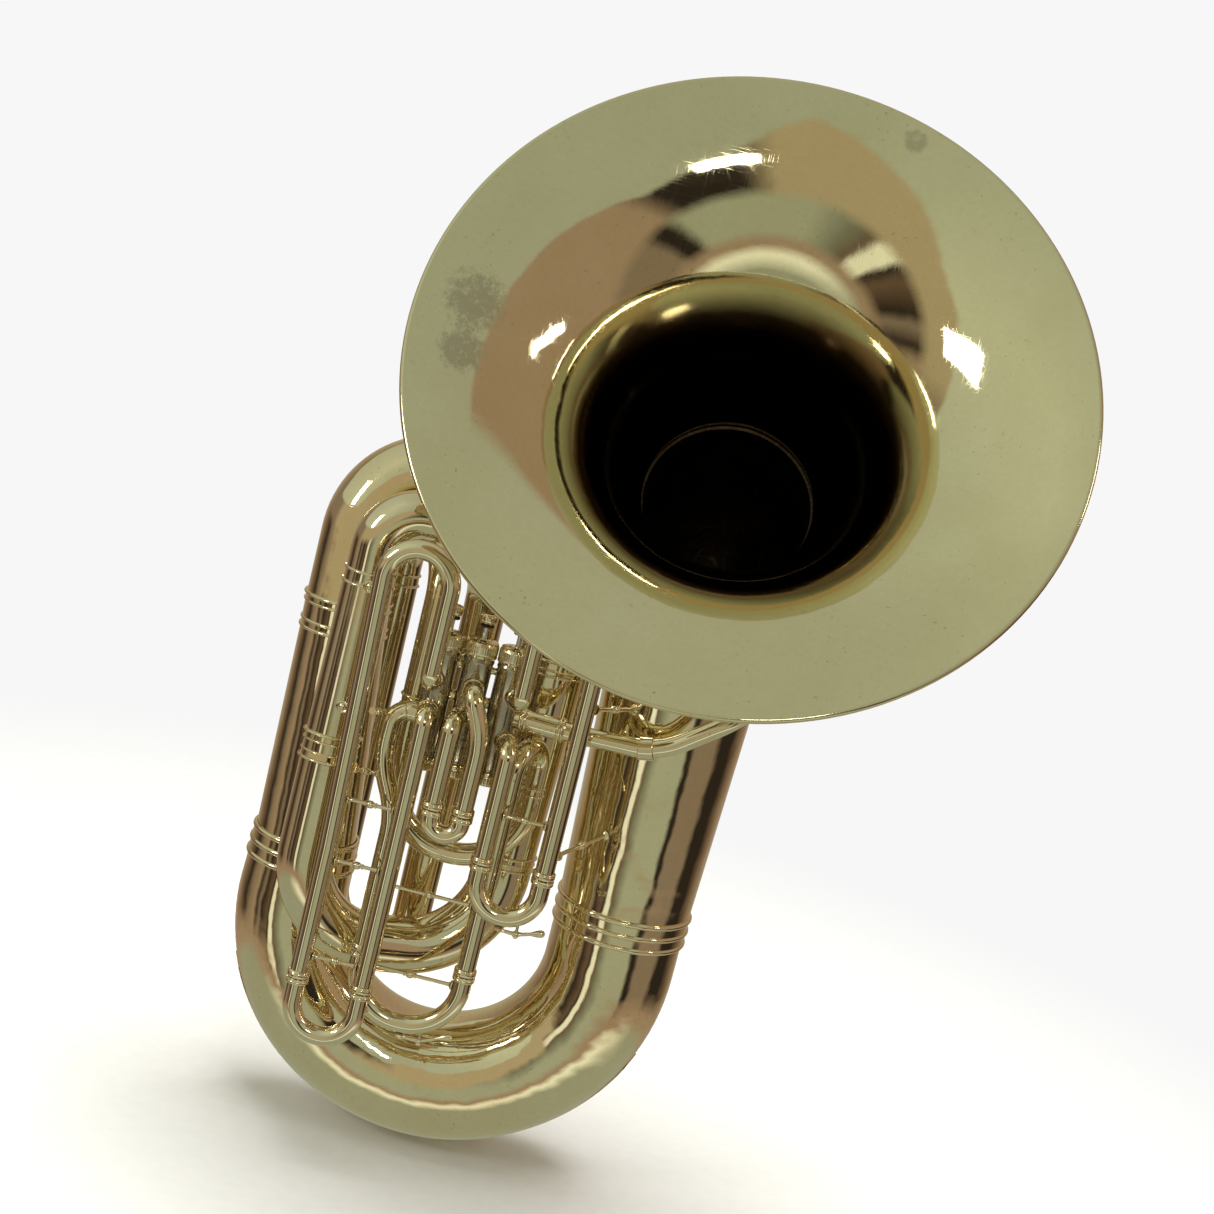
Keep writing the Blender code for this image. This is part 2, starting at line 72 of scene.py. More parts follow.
# ---- bell
RIM_R = 302.0
RIM_CENTRE = Vector((150.6, -300.0, 889.5))
BELL_TILT = 31.0            # bell axis above the horizontal, degrees
BELL_TURN = 3.13            # bell axis turned to the left of straight ahead, degrees
BELL_LENGTH = 278.0
HORN_START = 53.0           # Bessel horn: radius falls as a power of the depth from the rim
HORN_POWER = 0.7
RIM_WIRE = 3.3
RIM_CURL = 285.0            # degrees that the rim is rolled round its wire
SHEET = 0.9
ELBOW_R = 98.0
ELBOW_TUBE_R = 83.4
TENON_R = 79.6
TENON_BOTTOM = 600.0
THROAT_SHADE_FROM, THROAT_SHADE_TO = 95.0, 170.0      # depth over which painted shade darkens the bell down its throat
STAINS = ((274.0, 14.0, 62.0), (263.0, 14.0, 48.0), (17.0, 4.0, 24.0))  # on_bell, and size

# ---- stack and outer branches
STACK_X = 167.0
STACK_TOP = 596.0
STACK_R0, STACK_R1 = 68.0, 79.6
SOCKET_BORE_R = 81.2
SOCKET_R = 87.0
SOCKET_Z0, SOCKET_Z1 = 566.0, 622.0
SCREW_Z = 609.0
SCREW_ANGLES = (40.0, 160.0, 280.0)
BOW_R = 168.0
BOW_BEND = 167.9
BOW_FLOOR = 69.7            # height of the bow's centre line over the stand
BOW_Z = BOW_FLOOR + BOW_BEND
BOW_TUBE_R0, BOW_TUBE_R1 = 67.4, 53.0
BOW_JOIN_Z = 297.0
BRANCH_X = -169.4

# ---- valves
VALVE_X = (0.4, -33.6, -67.6)
VALVE_Y = -95.0
CASING_R, CASING_BORE_R = 14.8, 14.1
CASING_Z0, CASING_Z1 = 427.0, 556.0
CAP_R = 16.7
CAP_TOP = 561.0
BOTTOM_CAP_Z = 421.0
CAP_RIBS = 44
RIB_DEPTH = 0.35
PORT_Y = VALVE_Y - CASING_R + 6.0   # where a tube's route starts, inside the casing's wall
KNUCKLES = ((444.0, 3.4), (472.0, 5.4), (500.0, 5.4), (533.0, 3.4))     # height, radius
PISTON_R = 13.5
PISTON_Z0, PISTON_Z1 = 458.0, 540.0
STEM_R = 2.6
STEM_TOP = 577.0
BUTTON_R = 8.6
BUTTON_TOP = 589.0
SPRING_R = 9.5
SPRING_WIRE = 0.8
SPRING_TURNS = 5

# ---- cylindrical tubing
TUBE_R = 9.6
INNER_R = 8.3
RING_R = 11.4
RING_W = 5.0
SLIDE_GAP = 0.5
LOOP_Y = -131.0
MAIN_Y = -106.0
V1_X = (17.0, 79.0)
V2_X = (-42.5, -12.5)
V3_X = (-133.0, -69.0)
MAIN_X = (-79.5, 26.4)
V1_LEG_Z, V2_LEG_Z, V3_LEG_Z, MAIN_LEG_Z = 352.0, 394.0, 192.0, 226.0
V1_BOW_Z, V2_BOW_Z, V3_BOW_Z, MAIN_BOW_Z = 303.0, 370.0, 135.5, 159.5
V1_BEND, V2_BEND, V3_BEND, MAIN_BEND = 30.8, 14.9, 31.8, 51.0
V1_INSIDE, V2_INSIDE, V3_INSIDE, MAIN_INSIDE = 60.0, 50.0, 100.0, 90.0     # in the fixed legs

# ---- camera: above and in front of the tuba, looking a little down, rolled to the right
CAMERA_PLACE = (0.075, -2.465, 1.1265)
CAMERA_DOWN = 12.0
CAMERA_ROLL = 14.1
CAMERA_LENS = 74.13
FLOOR_R = 1.4
FLOOR_DROP = 0.001

SHARP = math.radians(38.0)  # edges keener than this stay crisp
PEEL = 0.00001              # height of the lacquer's orange peel, metres

scene = bpy.context.scene
looks = bpy.data.collections.new("looks")
scene.collection.children.link(looks)


# ================================================================ materials
def add(tree, kind, inputs=None, **settings):
    """A shader node; inputs are sockets to link or plain values, keyed by name or index."""
    made = tree.nodes.new("ShaderNode" + kind)
    for key, value in settings.items():
        setattr(made, key, value)
    for key, value in (inputs or {}).items():
        if isinstance(value, bpy.types.NodeSocket):
            tree.links.new(value, made.inputs[key])
        else:
            made.inputs[key].default_value = value
    return made


def place(tree, stretch=(1.0, 1.0, 1.0), turn=(0.0, 0.0, 0.0)):
    """Object coordinates, stretched and turned."""
    coords = add(tree, "TexCoord").outputs["Object"]
    return add(tree, "Mapping", {"Vector": coords, "Scale": stretch,
                                 "Rotation": turn}).outputs[0]


def noise(tree, scale, detail=3.0, rough=0.55, where=None):
    """Cloudy noise over the object's own coordinates."""
    where = where or place(tree)
    return add(tree, "TexNoise", {"Vector": where, "Scale": scale, "Detail": detail,
                                  "Roughness": rough}).outputs[0]


def spread(tree, value, low, high, to_low=0.0, to_high=1.0):
    """Value between low and high, spread over to_low to to_high, and clamped."""
    return add(tree, "MapRange", {"Value": value, "From Min": low, "From Max": high,
                                  "To Min": to_low, "To Max": to_high}).outputs[0]


def calc(tree, operation, a, b):
    """One sum on two values."""
    return add(tree, "Math", {0: a, 1: b}, operation=operation).outputs[0]


def blend_colour(tree, amount, a, b):
    """Colour a where amount is 0, colour b where it is 1."""
    made = add(tree, "Mix", {0: amount}, data_type="RGBA")
    for index, colour in ((6, a), (7, b)):
        if isinstance(colour, bpy.types.NodeSocket):
            tree.links.new(colour, made.inputs[index])
        else:
            made.inputs[index].default_value = (*colour, 1.0)
    return made.outputs[2]


def scratches(tree, amount=0.67):
    """Thin hairlines in three directions, 0 or 1."""
    total = None
    for turn, stretch in (((0.3, 0.2, 0.5), (1400.0, 22.0, 22.0)),
                          ((1.1, 0.7, 2.2), (24.0, 1700.0, 24.0)),
                          ((2.0, 1.4, 0.9), (20.0, 20.0, 1300.0))):
        line = noise(tree, 1.0, 1.0, 0.4, place(tree, stretch, turn))
        line = spread(tree, line, amount, amount + 0.05)
        total = line if total is None else calc(tree, "MAXIMUM", total, line)
    return total


def spot(tree, centre, radius):
    """1 near a place on the object (mm), falling to 0 at the radius, with a ragged edge."""
    coords = add(tree, "TexCoord").outputs["Object"]
    away = add(tree, "VectorMath", {0: coords, 1: Vector(centre) * MM},
               operation="DISTANCE").outputs["Value"]
    near = spread(tree, away, radius * MM, radius * 0.25 * MM)
    ragged = noise(tree, 150.0, 8.0, 0.75)
    return spread(tree, calc(tree, "MULTIPLY", near, ragged), 0.33, 0.50)


def painted_throat_shade(tree):
    """0 on the open bell, rising to 1 down its throat, where painted shade darkens the brass."""
    coords = add(tree, "TexCoord").outputs["Object"]
    from_rim = add(tree, "VectorMath", {0: coords, 1: RIM_CENTRE * MM}, operation="SUBTRACT")
    depth = add(tree, "VectorMath", {0: from_rim.outputs[0], 1: -bell_axis()},
                operation="DOT_PRODUCT").outputs["Value"]
    return spread(tree, depth, THROAT_SHADE_FROM * MM, THROAT_SHADE_TO * MM)


def brass(name, colour, deep, roughness, dents, marks=(), throat=False):
    """Lacquered brass: toned blotches, freckles, hairlines, shallow dents and orange peel; with
    throat, painted shade down the bell's throat.
    """
    mat = bpy.data.materials.new(name)
    mat.use_nodes = True
    tree = mat.node_tree
    shader = tree.nodes["Principled BSDF"]
    shader.inputs["Metallic"].default_value = 1.0
    blotch = spread(tree, noise(tree, 9.0, 4.0, 0.6), 0.32, 0.70)
    tone = blend_colour(tree, blotch, colour, deep)
    mottle = spread(tree, noise(tree, 170.0, 5.0, 0.7), 0.35, 0.70, 0.0, 0.16)
    tone = blend_colour(tree, mottle, tone, [c * 0.72 for c in deep])
    freckle = spread(tree, noise(tree, 260.0, 2.0, 0.5), 0.66, 0.74)
    freckle = calc(tree, "MULTIPLY", freckle, spread(tree, noise(tree, 16.0), 0.42, 0.62))
    tone = blend_colour(tree, calc(tree, "MULTIPLY", freckle, 0.45), tone, (0.30, 0.19, 0.08))
    lines = scratches(tree)
    worn = calc(tree, "MULTIPLY", lines, 0.10)
    tone = blend_colour(tree, worn, tone, (0.86, 0.78, 0.55))
    satin = spread(tree, noise(tree, 30.0, 5.0, 0.65), 0.30, 0.75, roughness, roughness * 1.9)
    satin = calc(tree, "ADD", satin, calc(tree, "MULTIPLY", lines, 0.05))
    satin = calc(tree, "ADD", satin, calc(tree, "MULTIPLY", freckle, 0.10))
    for centre, radius in marks:
        stain = spot(tree, centre, radius)
        tone = blend_colour(tree, calc(tree, "MULTIPLY", stain, 0.75), tone, (0.40, 0.37, 0.26))
        satin = calc(tree, "ADD", satin, calc(tree, "MULTIPLY", stain, 0.3))
    if throat:
        # painted shade: the brass turns near-black down the bell's throat
        throat_shade = painted_throat_shade(tree)
        tone = blend_colour(tree, throat_shade, tone, (0.035, 0.020, 0.012))
        satin = calc(tree, "ADD", satin, calc(tree, "MULTIPLY", throat_shade, 0.12))
    tree.links.new(tone, shader.inputs["Base Color"])
    tree.links.new(satin, shader.inputs["Roughness"])
    soft = add(tree, "Bump", {"Strength": 1.0, "Distance": dents,
                              "Height": noise(tree, 15.0, 2.5, 0.50)})
    fine = add(tree, "Bump", {"Strength": 1.0, "Distance": PEEL, "Normal": soft.outputs[0],
                              "Height": noise(tree, 420.0, 2.0, 0.5)})
    cut = add(tree, "Bump", {"Strength": 0.25, "Distance": 0.00001, "Normal": fine.outputs[0],
                             "Height": lines}, invert=True)
    tree.links.new(cut.outputs[0], shader.inputs["Normal"])
    return mat


def plated(name, colour, roughness):
    """Nickel or steel: hairlines, faint clouding, a little wear to a warmer tone."""
    mat = bpy.data.materials.new(name)
    mat.use_nodes = True
    tree = mat.node_tree
    shader = tree.nodes["Principled BSDF"]
    shader.inputs["Metallic"].default_value = 1.0
    cloud = spread(tree, noise(tree, 45.0, 5.0, 0.6), 0.35, 0.70)
    tone = blend_colour(tree, cloud, colour, [c * 0.82 for c in colour])
    wear = spread(tree, noise(tree, 60.0, 4.0, 0.6), 0.58, 0.74)
    tone = blend_colour(tree, calc(tree, "MULTIPLY", wear, 0.3), tone, (0.60, 0.48, 0.28))
    lines = scratches(tree, 0.61)
    satin = calc(tree, "ADD", spread(tree, cloud, 0.0, 1.0, roughness, roughness * 1.7),
                 calc(tree, "MULTIPLY", lines, 0.15))
    tree.links.new(tone, shader.inputs["Base Color"])
    tree.links.new(satin, shader.inputs["Roughness"])
    bump = add(tree, "Bump", {"Strength": 0.6, "Distance": 0.00003, "Height": lines},
               invert=True)
    tree.links.new(bump.outputs[0], shader.inputs["Normal"])
    return mat


def dull(name, colour, scale, depth):
    """Cork or felt: grainy, not metallic."""
    mat = bpy.data.materials.new(name)
    mat.use_nodes = True
    tree = mat.node_tree
    shader = tree.nodes["Principled BSDF"]
    shader.inputs["Roughness"].default_value = 0.85
    grain = noise(tree, scale, 6.0, 0.7)
    tone = blend_colour(tree, spread(tree, grain, 0.35, 0.65), [c * 0.45 for c in colour],
                        colour)
    tree.links.new(tone, shader.inputs["Base Color"])
    bump = add(tree, "Bump", {"Strength": 0.8, "Distance": depth, "Height": grain})
    tree.links.new(bump.outputs[0], shader.inputs["Normal"])
    return mat


def bell_axis():
    """The bell's axis, from its throat out through its mouth."""
    tilt = math.radians(BELL_TILT)
    turn = math.radians(BELL_TURN)
    flat = math.cos(tilt)
    return Vector((-math.sin(turn) * flat, -math.cos(turn) * flat, math.sin(tilt)))


def horn_radius(depth):
    """The bell's inner radius at a depth behind its rim."""
    return RIM_R * (1.0 + depth / HORN_START) ** -HORN_POWER


def on_bell(clock, depth):
    """A place inside the bell: degrees round from the top, seen from its front, and depth."""
    axis = bell_axis()
    up = (Vector((0, 0, 1)) - axis * axis.z).normalized()
    arm = up * math.cos(math.radians(clock)) + up.cross(axis) * math.sin(math.radians(clock))
    return RIM_CENTRE - axis * depth + arm * horn_radius(depth)


# the bell's lacquer carries painted shade down its throat
BELL_BRASS = brass("bell_lacquer", (0.76, 0.69, 0.46), (0.71, 0.63, 0.40), 0.030, 0.0004,
                   marks=[(on_bell(clock, depth), size) for clock, depth, size in STAINS],
                   throat=True)
BELL_BACK = brass("bell_back_lacquer", (0.80, 0.71, 0.47), (0.74, 0.63, 0.38), 0.034, 0.0006)
TUBE_BRASS = brass("tube_lacquer", (0.86, 0.77, 0.54), (0.80, 0.68, 0.44), 0.028, 0.0022)
SLIM_BRASS = brass("slim_lacquer", (0.85, 0.77, 0.57), (0.78, 0.67, 0.44), 0.028, 0.0003)
# unpolished brass inside the tubes; its near-black colour is painted shade
SHADED_BORE = brass("bore_painted_shade", (0.060, 0.036, 0.018), (0.035, 0.022, 0.014), 0.30, 0.0005)
NICKEL = plated("nickel", (0.50, 0.45, 0.35), 0.08)
PLATE = plated("piston_plate", (0.78, 0.78, 0.76), 0.10)
STEEL = plated("spring_steel", (0.50, 0.50, 0.51), 0.28)
CORK = dull("cork", (0.46, 0.30, 0.16), 700.0, 0.0003)
FELT = dull("felt", (0.10, 0.035, 0.03), 1500.0, 0.0004)


# ================================================================ shapes
def shown(name, mesh, body, mat, node=None):
    """Put a mesh in the scene as a piece of its body, standing for a CAD node if one is named.

    Faces with material index 1 are the inside of a tube, which isn't polished and whose
    near-black colour is painted shade.
    """
    mesh.name = name
    for poly in mesh.polygons:
        poly.use_smooth = True
    mesh.set_sharp_from_angle(angle=SHARP)
    mesh.materials.append(mat)
    mesh.materials.append(SHADED_BORE)
    obj = bpy.data.objects.new(name, mesh)
    looks.objects.link(obj)
    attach(obj, body)
    if node:
        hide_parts(node)
    return obj


def stands_for(node, mesh, mat):
    """A finer piece in place of a CAD node, on that node's own body."""
    body = body_of(frame["nodes"][node])[0]
    return shown("fine_" + node, mesh, body, mat, node)


def round_corners(points, bends, step=4.0):
    """The polyline through points (mm) with an arc of the given radius at each inner point."""
    corners = [Vector(p) for p in points]
    out = [corners[0]]
    for i in range(1, len(corners) - 1):
        back = (corners[i - 1] - corners[i]).normalized()
        ahead = (corners[i + 1] - corners[i]).normalized()
        turn = math.pi - back.angle(ahead)
        if turn < 0.02:
            out.append(corners[i])
            continue
        radius = bends[i - 1]
        start = corners[i] + back * (radius * math.tan(turn / 2))
        centre = corners[i] + (back + ahead).normalized() * (radius / math.cos(turn / 2))
        spoke = (start - centre).normalized()
        axis = spoke.cross(-back).normalized()
        count = max(3, math.ceil(math.degrees(turn) / step))
        for j in range(count + 1):
            arm = Matrix.Rotation(turn * j / count, 3, axis) @ spoke
            out.append(centre + arm * radius)
    out.append(corners[-1])
    kept = [out[0]]
    for point in out[1:]:
        if (point - kept[-1]).length > 0.3:
            kept.append(point)
    return kept


def stations_along(path, profile):
    """(point, direction, radius) along the path; profile is (distance, radius) pairs.

    A negative distance counts back from the far end; -0.0 is the far end itself.
    """
    lengths = [0.0]
    for a, b in zip(path, path[1:]):
        lengths.append(lengths[-1] + (b - a).length)
    total = lengths[-1]
    marks = []
    for s, r in profile:
        from_end = s < 0 or math.copysign(1.0, s) < 0
        marks.append((total + s if from_end else s, r))
    places = [s for s, r in marks]
    for s in lengths:
        if min(abs(s - m) for m in places) > 0.15:
            places.append(s)
    result = []
    for s in sorted(places):
        k = 0
        while k < len(lengths) - 2 and lengths[k + 1] < s:
            k += 1
        t = (s - lengths[k]) / (lengths[k + 1] - lengths[k])
        before = path[k] - path[k - 1] if k else path[1] - path[0]
        after = path[k + 2] - path[k + 1] if k + 2 < len(path) else path[k + 1] - path[k]
        here = (path[k + 1] - path[k]).normalized()
        start = (before.normalized() + here).normalized()
        end = (after.normalized() + here).normalized()
        m = 0
        while m < len(marks) - 2 and marks[m + 1][0] < s:
            m += 1
        u = (s - marks[m][0]) / (marks[m + 1][0] - marks[m][0])
        radius = marks[m][1] + (marks[m + 1][1] - marks[m][1]) * min(1.0, max(0.0, u))
        result.append((path[k].lerp(path[k + 1], t), start.lerp(end, t).normalized(), radius))
    return result


def rings_along(stations, sides):
    """Rings of points round the stations, carried along the path without twist."""
    rings = []
    direction = stations[0][1]
    across = direction.orthogonal().normalized()
    for point, ahead, radius in stations:
        across = (direction.rotation_difference(ahead) @ across)
        across = (across - ahead * across.dot(ahead)).normalized()
        direction = ahead
        other = ahead.cross(across)
        ring = []
        for j in range(sides):
            a = math.tau * j / sides
            ring.append(point + (across * math.cos(a) + other * math.sin(a)) * radius)
        rings.append(ring)
    return rings


def skin(rings, cyclic, lined_from=None):
    """A mesh over a list of rings; cyclic joins the last ring to the first, else both are capped.

    Faces after the ring numbered lined_from are the inside of a tube.
    """
    bm = bmesh.new()
    made = [[bm.verts.new(p * MM) for p in ring] for ring in rings]
    pairs = list(zip(made, made[1:]))
    if cyclic:
        pairs.append((made[-1], made[0]))
    for i, (a, b) in enumerate(pairs):
        for j in range(len(a)):
            k = (j + 1) % len(a)
            face = bm.faces.new((a[j], a[k], b[k], b[j]))
            if lined_from is not None and i >= lined_from:
                face.material_index = 1
    if not cyclic:
        bm.faces.new(made[0])
        bm.faces.new(list(reversed(made[-1])))
    bmesh.ops.recalc_face_normals(bm, faces=bm.faces)
    mesh = bpy.data.meshes.new("skin")
    bm.to_mesh(mesh)
    bm.free()
    return mesh


def fit_to_casing(rings, stations, x):
    """Slide the first ring along the tube until it lies on the round casing at x."""
    radius = CASING_R + 0.05
    along = stations[0][1]
    flat = Vector((along.x, along.y))
    for k, p in enumerate(rings[0]):
        away = Vector((p.x - x, p.y - VALVE_Y))
        a = flat.dot(flat)
        b = away.dot(flat)
        c = away.dot(away) - radius * radius
        root = max(0.0, b * b - a * c)
        rings[0][k] = p + along * ((math.sqrt(root) - b) / a)


def pipe_mesh(points, bends, profile, wall, sides, step=4.0, casing=None):
    """A hollow tube mesh with open ends and a wall."""
    stations = stations_along(round_corners(points, bends, step), profile)
    outer = rings_along(stations, sides)
    inner = rings_along([(p, d, r - wall) for p, d, r in stations], sides)
    if casing is not None:
        reach = next(i for i, s in enumerate(stations)
                     if (s[0].xy - Vector((casing, VALVE_Y))).length > CASING_R + 2.5)
        outer = [outer[0]] + outer[reach:]
        inner = [inner[0]] + inner[reach:]
        fit_to_casing(outer, stations, casing)
        fit_to_casing(inner, stations, casing)
    return skin(outer + list(reversed(inner)), True, lined_from=len(outer))


def pipe(node, points, bends, profile, mat=None, wall=0.8, sides=48, step=4.0, casing=None):
    """A tube in place of a CAD node."""
    mesh = pipe_mesh(points, bends, profile, wall, sides, step, casing)
    return stands_for(node, mesh, mat or SLIM_BRASS)


def bead(at, width, base, top):
    """Radius profile of one rounded bead that starts at a distance along a tube."""
    steps = 6
    made = []
    for k in range(steps + 1):
        swell = math.sin(math.pi * k / steps) ** 0.55
        made.append((at + width * k / steps, base + (top - base) * swell))
    return made


def band(at, width, base, top):
    """Radius profile of a flat band with soft shoulders."""
    edge = 0.7
    rise = top - base
    return [(at, base), (at + edge * 0.3, base + rise * 0.72), (at + edge, top),
            (at + width - edge, top), (at + width - edge * 0.3, base + rise * 0.72),
            (at + width, base)]


def lathe_mesh(outline, centre, axis, steps, closed=True, lined_from=None):
    """A turned mesh: outline of (radius, height) in mm round an axis through centre."""
    turn = Vector((0, 0, 1)).rotation_difference(Vector(axis))
    rings = []
    for r, z in outline:
        ring = []
        for j in range(steps):
            a = math.tau * j / steps
            flat = Vector((max(r, 0.01) * math.cos(a), max(r, 0.01) * math.sin(a), z))
            ring.append(Vector(centre) + turn @ flat)
        rings.append(ring)
    return skin(rings, closed, lined_from)


def knurled(outline, teeth, depth, centre, axis, low, high):
    """A turned mesh whose wall between two heights is cut with fine ribs."""
    turn = Vector((0, 0, 1)).rotation_difference(Vector(axis))
    steps = teeth * 4
    widest = max(r for r, z in outline)
    rings = []
    for r, z in outline:
        cut = depth if low <= z <= high and r > widest - 1.2 else 0.0
        ring = []
        for j in range(steps):
            a = math.tau * j / steps
            rib = (0.0, 0.5, 1.0, 0.5)[j % 4] * cut
            flat = Vector((max(r - rib, 0.01) * math.cos(a), max(r - rib, 0.01) * math.sin(a), z))
            ring.append(Vector(centre) + turn @ flat)
        rings.append(ring)
    return skin(rings, False)


def join(name, meshes):
    """One mesh from several."""
    bm = bmesh.new()
    for mesh in meshes:
        bm.from_mesh(mesh)
    made = bpy.data.meshes.new(name)
    bm.to_mesh(made)
    bm.free()
    return made


def bar_mesh(start, end, radius):
    """A short round bar with rounded ends."""
    profile = [(0.0, radius * 0.7), (radius * 0.2, radius), (-radius * 0.2, radius),
               (-0.0, radius * 0.7)]
    return skin(rings_along(stations_along([Vector(start), Vector(end)], profile), 20), False)


def stay_mesh(start, end, rod=1.9, foot=5.0):
    """A turned stay: domed feet, thin rod, a ball and two collars in the middle."""
    a, b = Vector(start), Vector(end)
    half = (b - a).length / 2
    profile = [(0.0, foot), (0.9, foot * 0.98), (1.8, foot * 0.8), (2.8, rod * 1.25),
               (5.0, rod)]
    middle = [(half - 6.4, rod), (half - 6.0, rod * 1.5), (half - 4.8, rod * 1.5),
              (half - 4.3, rod)]
    for k in range(9):
        a_ball = math.pi * k / 8
        middle.append((half - 3.6 * math.cos(a_ball), rod + 2.0 * math.sin(a_ball)))
    middle += [(half + 4.3, rod), (half + 4.8, rod * 1.5), (half + 6.0, rod * 1.5),
               (half + 6.4, rod)]
    ends = [(-s, r) for s, r in reversed(profile)]
    if half < 14.0:
        middle = []
    return skin(rings_along(stations_along([a, b], profile + middle + ends), 24), False)


# ================================================================ bell
def build_bell():
    """The flare with its rolled rim, and the elbow that carries it."""
    axis = bell_axis()
    depths = [BELL_LENGTH * (k / 64) ** 1.9 for k in range(65)]
    inner = [(horn_radius(s), s) for s in depths]
    slope = -HORN_POWER * RIM_R / HORN_START
    lean = Vector((1.0, -slope)).normalized()
    hub = Vector((RIM_R + lean.x * RIM_WIRE, lean.y * RIM_WIRE))
    first = math.atan2(-lean.y, -lean.x)
    curl = []
    for k in range(1, 22):
        a = first + math.radians(RIM_CURL) * k / 21
        curl.append((hub.x + RIM_WIRE * math.cos(a), hub.y + RIM_WIRE * math.sin(a)))
    outer = []
    for s in depths:
        if s < 4.0:
            continue
        steep = -HORN_POWER * horn_radius(s) / (HORN_START + s)
        side = Vector((1.0, -steep)).normalized()
        outer.append((horn_radius(s) + side.x * SHEET, s + side.y * SHEET))
    outline = list(reversed(inner)) + curl + outer
    outline = [(r, -min(s, BELL_LENGTH)) for r, s in outline]
    mesh = lathe_mesh(outline, RIM_CENTRE, axis, 160, lined_from=len(inner) + len(curl) - 1)
    flare = stands_for("bell_flare", mesh, BELL_BRASS)
    flare.data.materials[1] = BELL_BACK

    neck = RIM_CENTRE - axis * (BELL_LENGTH + 1.2)
    reach = math.hypot(RIM_CENTRE.x - STACK_X, RIM_CENTRE.y)
    corner = (STACK_X, 0.0, RIM_CENTRE.z - reach * math.tan(math.radians(BELL_TILT)))
    end_r = horn_radius(BELL_LENGTH)
    profile = [(0.0, end_r + 1.0), (0.3, end_r + 2.2), (3.0, end_r + 2.2), (3.6, end_r + 1.3),
               (7.6, end_r + 1.3), (8.2, end_r + 2.2), (10.2, end_r + 2.2),
               (11.0, ELBOW_TUBE_R), (-26.0, ELBOW_TUBE_R), (-24.4, ELBOW_TUBE_R + 0.9),
               (-23.0, ELBOW_TUBE_R), (-22.4, TENON_R), (-0.0, TENON_R)]
    pipe("bell_elbow", [neck, corner, (STACK_X, 0.0, TENON_BOTTOM)], [ELBOW_R], profile,
         mat=TUBE_BRASS, wall=1.0, sides=96)


def build_socket():
    """The banded socket on the stack and its three thumb screws."""
    z0, z1 = SOCKET_Z0, SOCKET_Z1
    outline = [(STACK_R1 - 1.3, z0), (STACK_R1 + 0.3, STACK_TOP + 1.0),
               (SOCKET_BORE_R, STACK_TOP + 2.0), (SOCKET_BORE_R, z1), (SOCKET_R + 0.8, z1),
               (SOCKET_R + 1.5, z1 - 0.8), (SOCKET_R + 1.5, z1 - 4.4), (SOCKET_R, z1 - 6.0),
               (SOCKET_R, z1 - 21.0), (SOCKET_R + 0.9, z1 - 22.0), (SOCKET_R + 0.9, z1 - 24.0),
               (SOCKET_R, z1 - 25.0), (SOCKET_R, z0 + 9.0), (SOCKET_R + 1.0, z0 + 7.6),
               (SOCKET_R + 1.3, z0 + 5.0), (SOCKET_R + 1.0, z0 + 2.4), (SOCKET_R - 1.5, z0)]
    stands_for("bell_socket", lathe_mesh(outline, (STACK_X, 0, 0), (0, 0, 1), 112), TUBE_BRASS)
    for k, angle in enumerate(SCREW_ANGLES):
        a = math.radians(angle)
        out = Vector((math.cos(a), math.sin(a), 0.0))
        seat = Vector((STACK_X, 0.0, SCREW_Z)) + out * (SOCKET_R + 0.5)
        outline = [(0.0, 0.0), (3.0, 0.0), (3.0, 4.0), (7.4, 4.0), (8.3, 4.6), (8.5, 5.2),
                   (8.5, 9.6), (8.2, 10.6), (7.0, 11.4), (4.0, 11.5), (3.4, 11.0), (0.0, 10.8)]
        mesh = knurled(outline, 30, 0.45, seat, out, 5.0, 10.0)
        stands_for("bell_screw_%d" % (k + 1), mesh, NICKEL)


# ================================================================ conical tubing
def ferrule(node, x, z0, z1, low_r, high_r):
    """A turned ferrule close round its tube: a rounded bead at each end and one in the middle."""
    mid = (z0 + z1) / 2

    def sleeve(z):
        return low_r + (high_r - low_r) * (z - z0) / (z1 - z0)

    outline = [(low_r - 1.2, z0), (high_r - 1.2, z1)]
    for top in (z1, mid + 3.0, z0 + 6.0):
        outline += [(sleeve(z) + swell, z) for z, swell in
                    ((top, 0.1), (top - 0.7, 1.3), (top - 1.8, 1.9), (top - 3.4, 2.0),
                     (top - 4.6, 1.4), (top - 5.6, 0.2))]
    stands_for(node, lathe_mesh(outline, (x, 0.0, 0.0), (0, 0, 1), 96), TUBE_BRASS)


